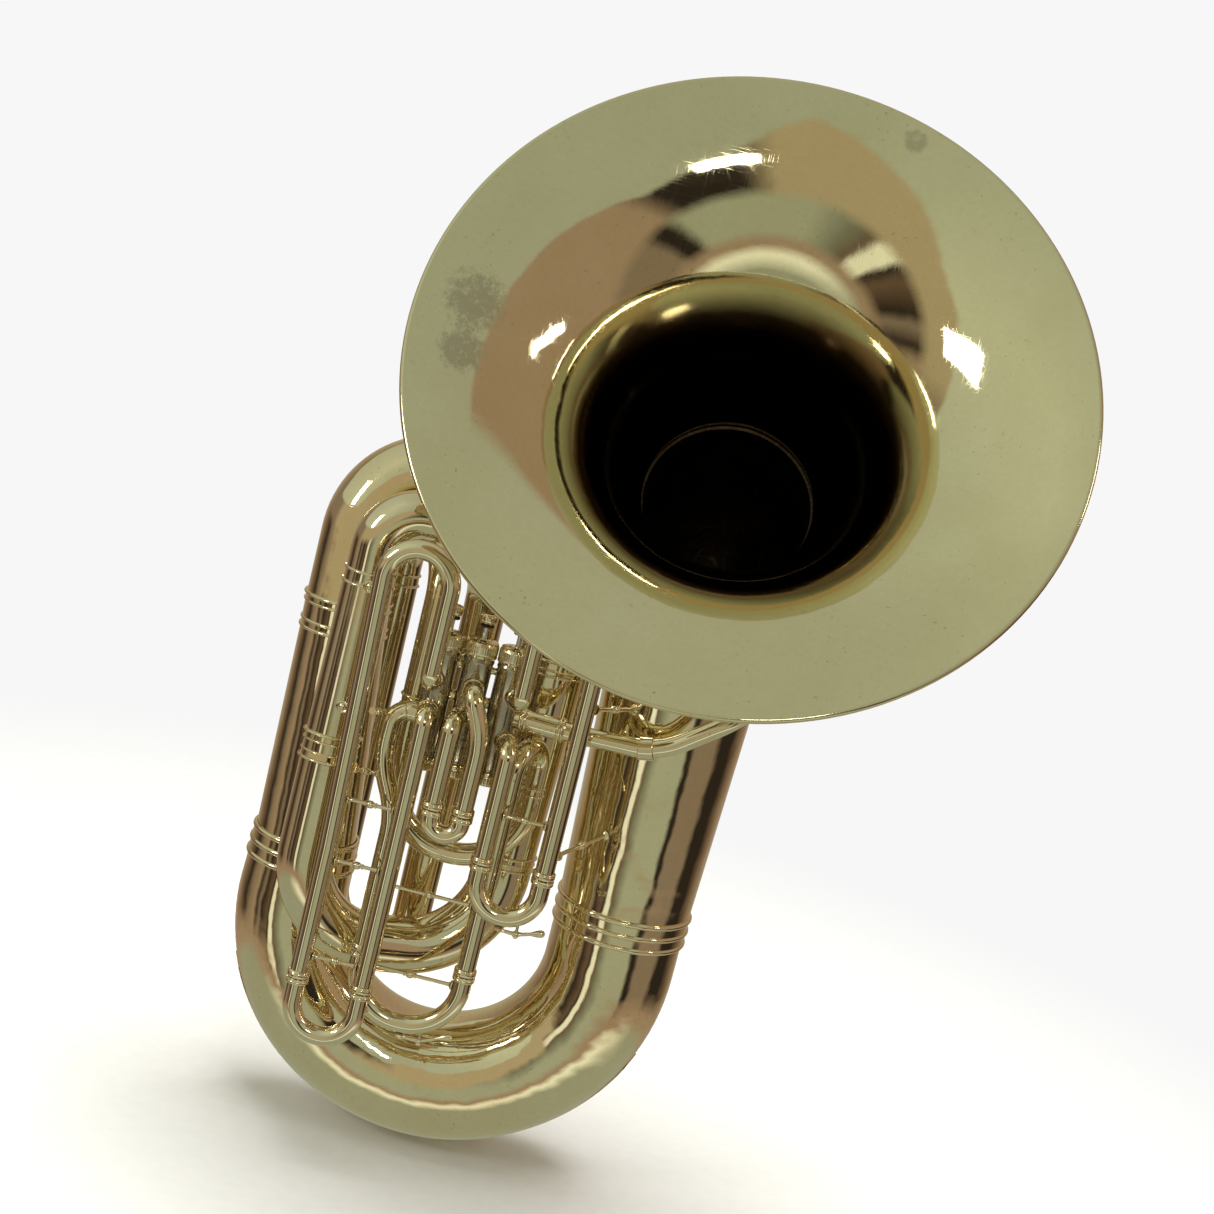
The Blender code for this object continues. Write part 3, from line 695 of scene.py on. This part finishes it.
def build_cones():
    """The conical tubing from the stack down to the main slide, each tube with its beads."""
    big = dict(mat=TUBE_BRASS, wall=0.9, sides=96)
    pipe("bell_stack", [(STACK_X, 0, BOW_JOIN_Z + 0.4), (STACK_X, 0, STACK_TOP)], [],
         [(0.0, STACK_R0), (-0.0, STACK_R1)], **big)
    pipe("bottom_bow", [(STACK_X, 0, BOW_JOIN_Z), (STACK_X, 0, BOW_FLOOR),
                        (BRANCH_X, 0, BOW_FLOOR), (BRANCH_X, 0, BOW_JOIN_Z - 7)],
         [BOW_BEND, BOW_BEND],
         [(0.0, BOW_TUBE_R0), (300.0, 66.9), (440.0, 64.0), (-0.0, BOW_TUBE_R1)],
         step=3.0, **big)
    pipe("outer_branch", [(BRANCH_X, 0, BOW_JOIN_Z - 8), (-181.1, 2, 549.5)], [],
         [(0.0, 52.2)] + bead(-38.0, 4.0, 43.7, 45.8) + bead(-30.0, 3.4, 43.6, 45.2)
         + bead(-11.0, 3.4, 43.3, 45.0) + bead(-4.0, 3.9, 43.2, 45.8), **big)
    pipe("outer_top_bow", [(-180.8, 0.9, 540), (-185, 22, 690), (36, 22, 690), (36, 1.2, 534)],
         [76, 76], [(0.0, 42.6), (-0.0, 36.0)], **big)
    mid = dict(wall=0.8, sides=64)
    pipe("inner_branch", [(36, 2.0, 541), (36, -10, 330)], [],
         bead(0.0, 3.4, 36.4, 38.2) + bead(9.0, 2.8, 35.8, 37.0) + bead(15.0, 3.0, 35.4, 37.2)
         + [(-0.0, 30.6)], **mid)
    pipe("inner_bow", [(36, -10.0, 332), (36, -15, 218), (-157, -92, 218), (-157, -89, 404)],
         [92, 92], bead(0.0, 3.2, 30.8, 32.8) + bead(7.0, 2.6, 30.6, 31.8)
         + bead(13.0, 3.0, 30.2, 32.2) + [(-0.0, 27.2)], **mid)
    pipe("second_branch", [(-157, -89, 402.5), (-158, -74, 586)], [],
         bead(0.0, 3.4, 28.0, 30.4) + bead(8.0, 2.6, 27.4, 29.0) + bead(19.0, 2.6, 27.2, 29.0)
         + bead(26.0, 3.6, 27.0, 30.2) + [(-0.0, 25.0)], **mid)
    pipe("second_top_bow", [(-158, -74, 582), (-158, -73, 662), (-70, -62, 662),
                            (-46, 30, 590), (-46, 42.9, 506)], [42, 30, 40],
         bead(0.0, 3.2, 25.0, 27.0) + bead(13.0, 3.0, 24.6, 26.6) + [(-0.0, 21.4)], **mid)
    pipe("third_bow", [(-46, 42, 514), (-46, 42, 175), (-138, 78, 175), (-138, 76, 560)],
         [46, 46], bead(0.0, 3.0, 21.6, 23.4) + bead(13.0, 3.0, 21.2, 23.0)
         + [(-0.0, 16.6)], **mid)
    pipe("third_top_bow", [(-138, 76, 557), (-138, 76, 624), (-88, -46, 624),
                           (-88, -60.3, 477)], [50, 50],
         bead(0.0, 3.0, 16.6, 18.4) + bead(11.0, 3.0, 16.2, 18.0) + [(-0.0, 13.2)], **mid)
    pipe("fourth_bow", [(-88, -60, 482.5), (-88, -60, 331), (48, -60, 331), (48, -60, 412)],
         [66, 66], bead(0.0, 3.0, 13.4, 15.2) + bead(11.0, 3.0, 13.0, 14.8)
         + [(-0.0, 10.6)], **mid)
    ferrule("stack_ferrule", STACK_X, BOW_JOIN_Z - 22, BOW_JOIN_Z + 11, 68.6, 69.4)
    ferrule("branch_ferrule", BRANCH_X, BOW_JOIN_Z - 33, BOW_JOIN_Z + 1, 55.4, 53.6)


def bow_tube_radius(run):
    """The bottom bow's tube radius at a distance along its centre line."""
    radius = BOW_TUBE_R0 - 0.5 * min(run, 300.0) / 300.0
    radius -= 2.9 * min(1.0, max(0.0, run - 300.0) / 140.0)
    return radius - 11.0 * max(0.0, run - 440.0) / 205.0


def build_guard():
    """A strip of sheet along the outermost line of the bottom bow, with a half-round rib."""
    section = [(-8.5, 0.0), (-8.5, 0.7), (-7.6, 1.2), (-3.0, 1.3), (-2.0, 1.9), (0.0, 2.3),
               (2.0, 1.9), (3.0, 1.3), (7.6, 1.2), (8.5, 0.7), (8.5, 0.0)]
    rings = []
    for k in range(61):
        a = math.radians(-22.5 - 135.0 * k / 60)
        reach = BOW_R + bow_tube_radius(62.0 - BOW_R * a) + 0.6
        out = Vector((math.cos(a), 0.0, math.sin(a)))
        foot = Vector(((STACK_X + BRANCH_X) / 2, 0.0, BOW_Z)) + out * reach
        narrow = min(1.0, 0.25 + min(k, 60 - k) / 3.0)
        rings.append([foot + Vector((0.0, y * narrow, 0.0)) + out * z for y, z in section])
    stands_for("bow_guard", skin(rings, False), TUBE_BRASS)


# ================================================================ valves
def build_valve(number, x):
    """One piston valve: casing, caps, piston, finger button with its felt, and spring."""
    tag = "valve_%d_" % number
    here = (x, VALVE_Y, 0.0)
    up = (0, 0, 1)
    outline = [(CASING_BORE_R, CASING_Z0), (CASING_BORE_R, CASING_Z1), (CASING_R, CASING_Z1),
               (CASING_R, 543.0), (CASING_R + 0.7, 542.0), (CASING_R + 0.7, 540.0),
               (CASING_R, 539.0), (CASING_R, 440.0), (CASING_R + 0.7, 439.0),
               (CASING_R + 0.7, 437.0), (CASING_R, 436.0), (CASING_R, CASING_Z0)]
    stands_for(tag + "casing", lathe_mesh(outline, here, up, 64), NICKEL)
    top = CAP_TOP
    skirt = CASING_R + 0.4
    outline = [(3.2, CASING_Z1 + 0.4), (skirt, CASING_Z1 + 0.4), (skirt, 545.0),
               (CAP_R - 0.5, 545.0), (CAP_R, 545.6), (CAP_R, 547.4), (CAP_R - 0.7, 548.2),
               (CAP_R - 0.1, 549.0), (CAP_R, 550.0), (CAP_R, 556.6), (CAP_R - 0.1, 557.6),
               (CAP_R - 0.8, 558.6), (CAP_R - 1.2, 560.4), (CAP_R - 2.4, top), (9.0, top),
               (8.0, top + 0.5), (7.0, top + 1.2), (3.2, top + 1.2)]
    mesh = knurled(outline, CAP_RIBS, RIB_DEPTH, here, up, 549.0, 557.6)
    stands_for(tag + "top_cap", mesh, SLIM_BRASS)
    low = BOTTOM_CAP_Z
    outline = [(2.0, low + 2.0), (2.0, low), (9.0, low), (CAP_R - 2.2, low + 0.2),
               (CAP_R - 0.9, low + 1.2), (CAP_R - 0.3, low + 2.2), (CAP_R - 0.3, low + 9.0),
               (CAP_R - 0.9, low + 9.8), (CAP_R - 0.3, low + 10.6), (CAP_R - 0.3, low + 12.8),
               (CAP_R - 0.9, low + 14.0), (skirt, low + 14.0), (skirt, low + 5.5),
               (13.0, low + 5.5), (13.0, low + 2.0)]
    mesh = knurled(outline, CAP_RIBS, RIB_DEPTH, here, up, low + 2.2, low + 9.0)
    stands_for(tag + "bottom_cap", mesh, SLIM_BRASS)
    outline = [(0.0, PISTON_Z1 - 2.0), (PISTON_R - 1.2, PISTON_Z1 - 2.0),
               (PISTON_R - 1.2, PISTON_Z0), (PISTON_R, PISTON_Z0), (PISTON_R, PISTON_Z1 - 1.0),
               (PISTON_R - 1.0, PISTON_Z1), (STEM_R + 2.0, PISTON_Z1),
               (STEM_R, PISTON_Z1 + 1.5), (STEM_R, STEM_TOP), (0.0, STEM_TOP)]
    stands_for(tag + "piston", lathe_mesh(outline, here, up, 48, closed=False), PLATE)
    outline = [(0.0, STEM_TOP + 0.3), (BUTTON_R - 3.4, STEM_TOP + 0.3),
               (BUTTON_R - 1.6, STEM_TOP + 1.2), (BUTTON_R - 0.4, STEM_TOP + 3.4),
               (BUTTON_R, STEM_TOP + 4.4), (BUTTON_R, STEM_TOP + 8.0),
               (BUTTON_R - 0.3, BUTTON_TOP - 2.6), (BUTTON_R - 1.1, BUTTON_TOP - 1.2),
               (BUTTON_R - 2.2, BUTTON_TOP - 0.6), (4.0, BUTTON_TOP - 0.9),
               (0.0, BUTTON_TOP - 1.1)]
    stands_for(tag + "button", lathe_mesh(outline, here, up, 48, closed=False), SLIM_BRASS)
    piston_body = body_of(frame["nodes"][tag + "button"])[0]
    outline = [(STEM_R + 0.1, STEM_TOP - 2.2), (6.6, STEM_TOP - 2.2), (7.0, STEM_TOP - 1.6),
               (7.0, STEM_TOP - 0.4), (6.6, STEM_TOP + 0.1), (STEM_R + 0.1, STEM_TOP + 0.1)]
    shown("felt_%d" % number, lathe_mesh(outline, here, up, 40), piston_body, FELT)
    z0 = low + 5.5 + SPRING_WIRE
    z1 = PISTON_Z0 - SPRING_WIRE - 1.5
    path = []
    count = SPRING_TURNS * 28
    for k in range(count + 1):
        a = math.tau * k / 28
        path.append(Vector((x + SPRING_R * math.cos(a), VALVE_Y + SPRING_R * math.sin(a),
                            z0 + (z1 - z0) * k / count)))
    rings = rings_along(stations_along(path, [(0.0, SPRING_WIRE), (-0.0, SPRING_WIRE)]), 8)
    stands_for(tag + "spring", skin(rings, False), STEEL)


def build_knuckles():
    """Short tubes and studs that tie the three casings together."""
    for k, (right, left) in enumerate(zip(VALVE_X, VALVE_X[1:])):
        middle = (right + left) / 2
        half = (right - left) / 2
        reach = half - CASING_R + 0.4
        for row, (z, radius) in enumerate(KNUCKLES):
            a = Vector((middle + reach, VALVE_Y, z))
            b = Vector((middle - reach, VALVE_Y, z))
            profile = [(0.0, radius + 0.6), (1.0, radius + 0.3), (1.8, radius),
                       (-1.8, radius), (-1.0, radius + 0.3), (-0.0, radius + 0.6)]
            mesh = skin(rings_along(stations_along([a, b], profile), 32), False)
            name = "knuckle_%d_%d" % (k + 1, row + 1)
            shown(name, mesh, "body", SLIM_BRASS)


# ================================================================ slides
def end_ring():
    """Radius profile of a plain leg that ends in a soft-shouldered ring."""
    ring = [(-7.4, TUBE_R), (-7.0, RING_R - 0.9), (-6.2, RING_R - 0.1), (-5.4, RING_R),
            (-4.8, RING_R - 0.4), (-4.2, RING_R), (-1.0, RING_R), (-0.3, RING_R - 0.4),
            (-0.0, RING_R - 1.2)]
    return [(0.0, TUBE_R)] + ring


def port_leg():
    """A leg with a solder collar where it leaves the valve casing."""
    return [(0.0, TUBE_R + 1.2), (11.0, TUBE_R + 1.2), (12.0, TUBE_R + 0.9),
            (12.8, TUBE_R)] + end_ring()[1:]


def crook(node, legs, y, leg_z, bow_z, bend, inside):
    """The moving U of a tuning slide; its two legs reach `inside` mm up the fixed legs."""
    top = leg_z + inside
    points = [(legs[0], y, top), (legs[0], y, bow_z), (legs[1], y, bow_z), (legs[1], y, top)]
    s = inside + SLIDE_GAP
    ring = [(s, INNER_R), (s + 0.1, RING_R - 1.0), (s + 0.7, RING_R), (s + 2.2, RING_R),
            (s + 2.8, RING_R - 0.4), (s + 3.4, RING_R), (s + RING_W, RING_R),
            (s + RING_W + 0.8, RING_R - 0.4), (s + RING_W + 1.2, TUBE_R)]
    back = [(-d, r) for d, r in reversed(ring)]
    pipe(node, points, [bend, bend], [(0.0, INNER_R)] + ring + back + [(-0.0, INNER_R)],
         wall=0.6)


def build_slides():
    """The fixed legs of the four tuning slides and their moving crooks."""
    y = LOOP_Y
    port = PORT_Y
    a, b = V1_X
    leg = port_leg()
    pipe("v1_slide_upper", [(9, port, 516), (17, y, 516), (a, y, 632), (b, y, 632),
                            (b, y, V1_LEG_Z)], [11, V1_BEND, V1_BEND], leg, casing=VALVE_X[0])
    pipe("v1_slide_lower", [(9, port, 470), (17, y, 470), (a, y, V1_LEG_Z)], [12], leg,
         casing=VALVE_X[0])
    crook("v1_slide_crook", V1_X, y, V1_LEG_Z, V1_BOW_Z, V1_BEND, V1_INSIDE)
    a, b = V2_X
    pipe("v2_slide_upper", [(-32, port, 515), (-30, y, 515), (b, y, 474), (b, y, V2_LEG_Z)],
         [12, 100], leg, casing=VALVE_X[1])
    pipe("v2_slide_lower", [(-36, port, 484), (a, y, 484), (a, y, V2_LEG_Z)], [13], leg,
         casing=VALVE_X[1])
    crook("v2_slide_crook", V2_X, y, V2_LEG_Z, V2_BOW_Z, V2_BEND, V2_INSIDE)
    a, b = V3_X
    pipe("v3_slide_upper", [(-71, port, 515), (-74, y, 515), (-74, y, 640.5),
                            (-140, y, 640.5), (a, y, 330), (a, y, V3_LEG_Z)],
         [12, 32.5, 32.5, 60], leg, casing=VALVE_X[2])
    pipe("v3_slide_lower", [(-70, port, 484), (-70, y, 484), (b, y, 330), (b, y, V3_LEG_Z)],
         [12, 60], leg, casing=VALVE_X[2])
    crook("v3_slide_crook", V3_X, y, V3_LEG_Z, V3_BOW_Z, V3_BEND, V3_INSIDE)
    a, b = MAIN_X
    y = MAIN_Y
    pipe("main_slide_outlet", [(-78, -95, 474), (-103, -95, 474), (-104, -98, 420),
                               (a, y, 372), (a, y, MAIN_LEG_Z)], [18, 90, 90], leg,
         casing=VALVE_X[2])
    pipe("main_slide_leg", [(48, -60, 409.5), (48, -60, 464), (b, y, 464),
                            (b, y, MAIN_LEG_Z)], [25, 25],
         bead(0.0, 3.0, 10.6, 12.4) + bead(7.0, 3.0, 10.2, 12.2) + end_ring()[1:])
    crook("main_slide_crook", MAIN_X, y, MAIN_LEG_Z, MAIN_BOW_Z, MAIN_BEND,
          MAIN_INSIDE)


def build_leadpipe():
    """The pipe from the first valve round the stack, with its receiver."""
    points = [(12, -92, 492), (75, -97, 492), (158, -104, 496), (224, -110, 548),
              (276, -60, 602), (276, 30, 640), (276, 126, 640)]
    profile = [(0.0, TUBE_R + 1.0)] + bead(7.0, 3.0, 11.2, 12.3) + bead(12.0, 2.4, 11.2, 11.9)
    profile += bead(45.0, 2.4, 11.2, 11.9) + bead(49.0, 3.2, 11.2, 12.3) + [(53.0, TUBE_R)]
    profile += band(127.0, 15.0, TUBE_R, RING_R) + [(-0.0, 8.4)]
    pipe("leadpipe", points, [60, 80, 60, 60, 60], profile, casing=VALVE_X[0])
    along = (Vector(points[-1]) - Vector(points[-2])).normalized()
    start = Vector(points[-1]) + along * 0.4
    outline = [(7.4, 0.0), (8.0, 34.0), (11.0, 34.0), (11.8, 33.6), (12.4, 32.6), (12.4, 29.6),
               (11.9, 28.4), (10.9, 27.4), (10.7, 22.0), (11.2, 21.2), (11.2, 19.6),
               (10.6, 18.8), (10.2, 4.0), (10.8, 3.2), (10.9, 1.0), (10.4, 0.0)]
    mesh = lathe_mesh(outline, start, along, 64)
    stands_for("mouthpiece_receiver", mesh, NICKEL)


# ================================================================ small fittings
def build_water_keys():
    """A cork pad in a cup under the bow of the main and first slide crooks, a lever and its
    saddle.
    """
    for tag, slide, x, y, z, run, rise, top_of_post in (
            ("main", "main_slide", -23.0, MAIN_Y, MAIN_BOW_Z, 52.0, 14.0, 12.5),
            ("v1", "slide_1", 48.0, LOOP_Y, V1_BOW_Z, 46.0, 8.0, 13.0)):
        seat = z - TUBE_R - 0.7
        cup = [(0.0, -4.4), (3.4, -4.2), (4.6, -3.0), (4.8, -0.9), (4.2, -0.8), (0.0, -0.8)]
        cup = lathe_mesh(cup, (x, y, seat), (0, 0, 1), 32, closed=False)
        points = [(x, y, seat - 3.0), (x + run * 0.4, y, seat - 4.0),
                  (x + run, y, seat + rise - 4.0)]
        lever = stations_along(round_corners(points, [40], 4), [
            (0.0, 2.6), (6.0, 1.8), (16.0, 2.2), (20.0, 2.6), (24.0, 1.9), (-14.0, 1.8),
            (-8.0, 3.4), (-3.0, 3.8), (-0.8, 2.8), (-0.0, 1.2)])
        lever = skin(rings_along(lever, 24), False)
        hinge = Vector((x + run * 0.4, y, seat - 4.0))
        across = Vector((0.0, 5.6, 0.0))
        barrel = bar_mesh(hinge - across, hinge + across, 2.9)
        mesh = join("key", [cup, lever, barrel])
        stands_for(tag + "_water_key", mesh, SLIM_BRASS)
        posts = [bar_mesh(hinge + across * side, hinge + across * side
                          + Vector((0.0, -2.4 * side, top_of_post)), 1.5)
                 for side in (-0.72, 0.72)]
        shown(tag + "_key_saddle", join("saddle", posts), slide, SLIM_BRASS)
        key_body = body_of(frame["nodes"][tag + "_water_key"])[0]
        cork = lathe_mesh([(0.0, -0.9), (4.0, -0.9), (4.0, 0.2), (3.6, 0.45), (0.0, 0.5)],
                          (x, y, seat), (0, 0, 1), 28, closed=False)
        shown(tag + "_key_cork", cork, key_body, CORK)


def build_extra_fittings():
    """Stays and rosettes too small for the frame."""
    reach = TUBE_R + 0.1
    mesh = stay_mesh((V3_X[0] + reach, LOOP_Y, 318.0), (V3_X[1] - reach, LOOP_Y, 318.0))
    shown("v3_stay_middle", mesh, "body", SLIM_BRASS)
    mesh = stay_mesh((MAIN_X[0] + reach, MAIN_Y, 212.0), (MAIN_X[1] - reach, MAIN_Y, 212.0))
    shown("main_crook_stay", mesh, "main_slide", SLIM_BRASS)
    for k, (start, end) in enumerate((((-121, -130, 474), (-112, -95, 466)),
                                      ((-124, -128, 412), (-105, -104, 406)))):
        mesh = stay_mesh(start, end, 1.7, 3.6)
        shown("short_stay_%d" % (k + 1), mesh, "body", SLIM_BRASS)
    rosette = [(0.0, 0.0), (6.2, 0.0), (6.5, 0.9), (6.2, 1.9), (5.3, 2.3), (4.5, 1.7),
               (3.6, 1.4), (2.6, 2.2), (1.4, 2.9), (0.0, 3.1)]
    for k, seat in enumerate(((-153.0, -99.6, 586.0), (-152.0, -109.0, 465.0))):
        mesh = lathe_mesh(rosette, seat, (0, -1, 0), 40, closed=False)
        shown("rosette_%d" % (k + 1), mesh, "body", SLIM_BRASS)


def build_stays():
    """The stays that the frame has: across the slides, and from the first slide to the stack."""
    y = LOOP_Y
    reach = TUBE_R + 0.1
    for node, legs, depth, z in (("v3_stay_upper", V3_X, y, 382.0),
                                 ("v3_stay_lower", V3_X, y, 216.0),
                                 ("v1_stay", V1_X, y, 404.0),
                                 ("main_stay", MAIN_X, MAIN_Y, 298.0)):
        lean = -1.5 if node == "v3_stay_upper" else 0.0
        mesh = stay_mesh((legs[0] + lean + reach, depth, z), (legs[1] - reach, depth, z))
        stands_for(node, mesh, SLIM_BRASS)
    for tag, z, drop in (("lower", 388.0, 12.0), ("upper", 522.0, -6.0)):
        radius = STACK_R0 + (STACK_R1 - STACK_R0) * (z - BOW_JOIN_Z) / (STACK_TOP - BOW_JOIN_Z)
        start = Vector((V1_X[1] + 8.4, y + 6.0, z - drop))
        aim = Vector((STACK_X, 0.0, z))
        out = start - aim
        out.z = 0.0
        end = aim + out.normalized() * (radius + 0.2)
        stands_for("stack_stay_" + tag, stay_mesh(start, end, 2.2, 5.6), SLIM_BRASS)


# ================================================================ studio
def build_floor():
    """A pale round floor that fades away to its rim."""
    bm = bmesh.new()
    bmesh.ops.create_circle(bm, cap_ends=True, segments=128, radius=FLOOR_R)
    mesh = bpy.data.meshes.new("floor")
    bm.to_mesh(mesh)
    bm.free()
    floor = bpy.data.objects.new("floor", mesh)
    scene.collection.objects.link(floor)
    floor.location = (0.0, 0.0, -FLOOR_DROP)
    mat = bpy.data.materials.new("floor_paper")
    mat.use_nodes = True
    tree = mat.node_tree
    shader = tree.nodes["Principled BSDF"]
    shader.inputs["Roughness"].default_value = 0.9
    grain = spread(tree, noise(tree, 60.0, 3.0), 0.3, 0.7)
    tone = blend_colour(tree, grain, (0.82, 0.82, 0.84), (0.85, 0.85, 0.87))
    tree.links.new(tone, shader.inputs["Base Color"])
    coords = add(tree, "TexCoord").outputs["Object"]
    away = add(tree, "VectorMath", {0: coords}, operation="LENGTH").outputs["Value"]
    tree.links.new(spread(tree, away, FLOOR_R, FLOOR_R * 0.4), shader.inputs["Alpha"])
    mesh.materials.append(mat)
    floor.visible_glossy = False


def colour_ramp(tree, value, stops):
    """A colour for each value from 0 to 1; stops is (value, colour) pairs."""
    ramp = add(tree, "ValToRGB", {0: value})
    elements = ramp.color_ramp.elements
    while len(elements) < len(stops):
        elements.new(0.5)
    for element, (at, colour) in zip(elements, stops):
        element.position = at
        element.color = (*colour, 1.0)
    return ramp.outputs[0]


def build_world():
    """Soft room light: pale ceiling, tan walls, darker low down, and pale to the camera.

    Round the room, 0 and 1 are the left side, 0.25 the camera's side, 0.5 the right side.
    """
    world = bpy.data.worlds.new("studio")
    scene.world = world
    world.use_nodes = True
    tree = world.node_tree
    back = tree.nodes["Background"]
    coords = add(tree, "TexCoord").outputs["Generated"]
    up = add(tree, "SeparateXYZ", {0: coords}).outputs["Z"]
    around = add(tree, "TexGradient", {0: coords}, gradient_type="RADIAL").outputs[1]
    dark, brown = (0.030, 0.023, 0.018), (0.15, 0.10, 0.065)
    tan, pale = (0.38, 0.285, 0.200), (0.95, 0.97, 0.80)
    warm, umber = (0.47, 0.40, 0.26), (0.26, 0.205, 0.15)
    olive, moss = (0.40, 0.43, 0.32), (0.22, 0.235, 0.17)
    walls = colour_ramp(tree, around, (
        (0.0, umber), (0.04, warm), (0.255, warm), (0.275, dark), (0.325, dark), (0.345, tan),
        (0.69, tan), (0.80, warm), (0.90, umber), (1.0, umber)))
    # darker and paler upright shapes along the foot of the wall
    low = colour_ramp(tree, around, (
        (0.0, umber), (0.040, tan), (0.060, dark), (0.085, umber), (0.100, dark),
        (0.135, brown), (0.150, dark), (0.156, pale), (0.172, pale), (0.180, brown),
        (0.200, moss), (0.230, olive), (0.335, olive), (0.350, dark), (0.364, dark),
        (0.378, umber), (0.470, umber), (0.495, dark), (0.560, dark), (0.60, brown),
        (0.68, tan), (0.76, olive), (0.84, tan), (0.92, brown), (0.96, dark), (1.0, umber)))
    # where the wall meets the ceiling, as the sine of its elevation: low on the left with
    # one gable towards the camera, tall on the right and behind
    low_wall, gable, tall_wall = 0.20, 0.45, 0.85
    tops = [(at, (height, height, height)) for at, height in (
        (0.0, low_wall), (0.15, low_wall), (0.24, gable), (0.28, low_wall), (0.33, low_wall),
        (0.42, tall_wall), (0.80, tall_wall), (0.95, low_wall), (1.0, low_wall))]
    wall_top = add(tree, "SeparateColor", {0: colour_ramp(tree, around, tops)}).outputs[0]
    over_wall = calc(tree, "SUBTRACT", up, wall_top)
    ceiling = colour_ramp(tree, around, (
        (0.0, (0.54, 0.58, 0.46)), (0.12, (0.60, 0.645, 0.50)), (0.24, (0.43, 0.47, 0.37)),
        (0.40, (0.43, 0.46, 0.37)), (0.75, (0.46, 0.49, 0.39)), (1.0, (0.54, 0.58, 0.46))))
    overhead = spread(tree, up, 0.80, 0.97)
    ceiling = blend_colour(tree, overhead, ceiling, (0.47, 0.50, 0.40))
    carpet = (0.36, 0.385, 0.29)
    sheen = colour_ramp(tree, around, (
        (0.0, carpet), (0.10, carpet), (0.20, pale), (0.36, pale), (0.50, carpet),
        (1.0, carpet)))
    room = blend_colour(tree, spread(tree, up, -0.70, -0.60), carpet, sheen)
    room = blend_colour(tree, spread(tree, up, -0.58, -0.50), room, tan)
    room = blend_colour(tree, spread(tree, up, -0.48, -0.38), room, low)
    room = blend_colour(tree, spread(tree, up, -0.10, 0.0), room, walls)
    room = blend_colour(tree, spread(tree, over_wall, -0.015, 0.02), room, ceiling)
    seen = add(tree, "LightPath").outputs["Is Camera Ray"]
    shade = blend_colour(tree, seen, room, (0.93, 0.93, 0.93))
    tree.links.new(shade, back.inputs["Color"])
    back.inputs["Strength"].default_value = 1.0


def area_light(name, place_m, aim_m, width, height, power, mirrored=True):
    """A soft rectangular light; one that isn't mirrored doesn't show in the brass."""
    data = bpy.data.lights.new(name, "AREA")
    data.shape = "RECTANGLE"
    data.size = width
    data.size_y = height
    data.energy = power
    data.color = (1.0, 0.99, 0.95)
    light = bpy.data.objects.new(name, data)
    scene.collection.objects.link(light)
    light.location = place_m
    light.visible_glossy = mirrored
    light.rotation_euler = (Vector(aim_m) - Vector(place_m)).to_track_quat("-Z", "Y").to_euler()


def build_lights():
    """A wide overhead light, and three small windows that give the brass its highlights."""
    bell = RIM_CENTRE * MM
    area_light("overhead", (0.2, -0.3, 3.4), (0.0, 0.0, 0.5), 2.6, 2.2, 150.0, False)
    area_light("window_left", bell + Vector((-2.75, -1.55, 0.92)), bell, 0.62, 0.95, 18.0)
    area_light("window_right", bell + Vector((2.60, -0.55, 1.48)), bell, 0.22, 0.80, 6.0)
    area_light("window_front", bell + Vector((0.52, -3.00, 0.86)), bell, 0.60, 0.20, 5.0)


def build_camera():
    """The camera of the reference view."""
    data = bpy.data.cameras.new("camera")
    data.sensor_width = 36.0
    data.lens = CAMERA_LENS
    camera = bpy.data.objects.new("camera", data)
    scene.collection.objects.link(camera)
    camera.matrix_world = (Matrix.Translation(CAMERA_PLACE)
                           @ Matrix.Rotation(math.radians(90.0 - CAMERA_DOWN), 4, "X")
                           @ Matrix.Rotation(math.radians(CAMERA_ROLL), 4, "Z"))
    scene.camera = camera


build_bell()
build_socket()
build_cones()
build_guard()
for index, valve_x in enumerate(VALVE_X):
    build_valve(index + 1, valve_x)
build_knuckles()
build_slides()
build_leadpipe()
build_water_keys()
build_stays()
build_extra_fittings()
build_floor()
build_world()
build_lights()
build_camera()
scene.view_settings.view_transform = "Standard"
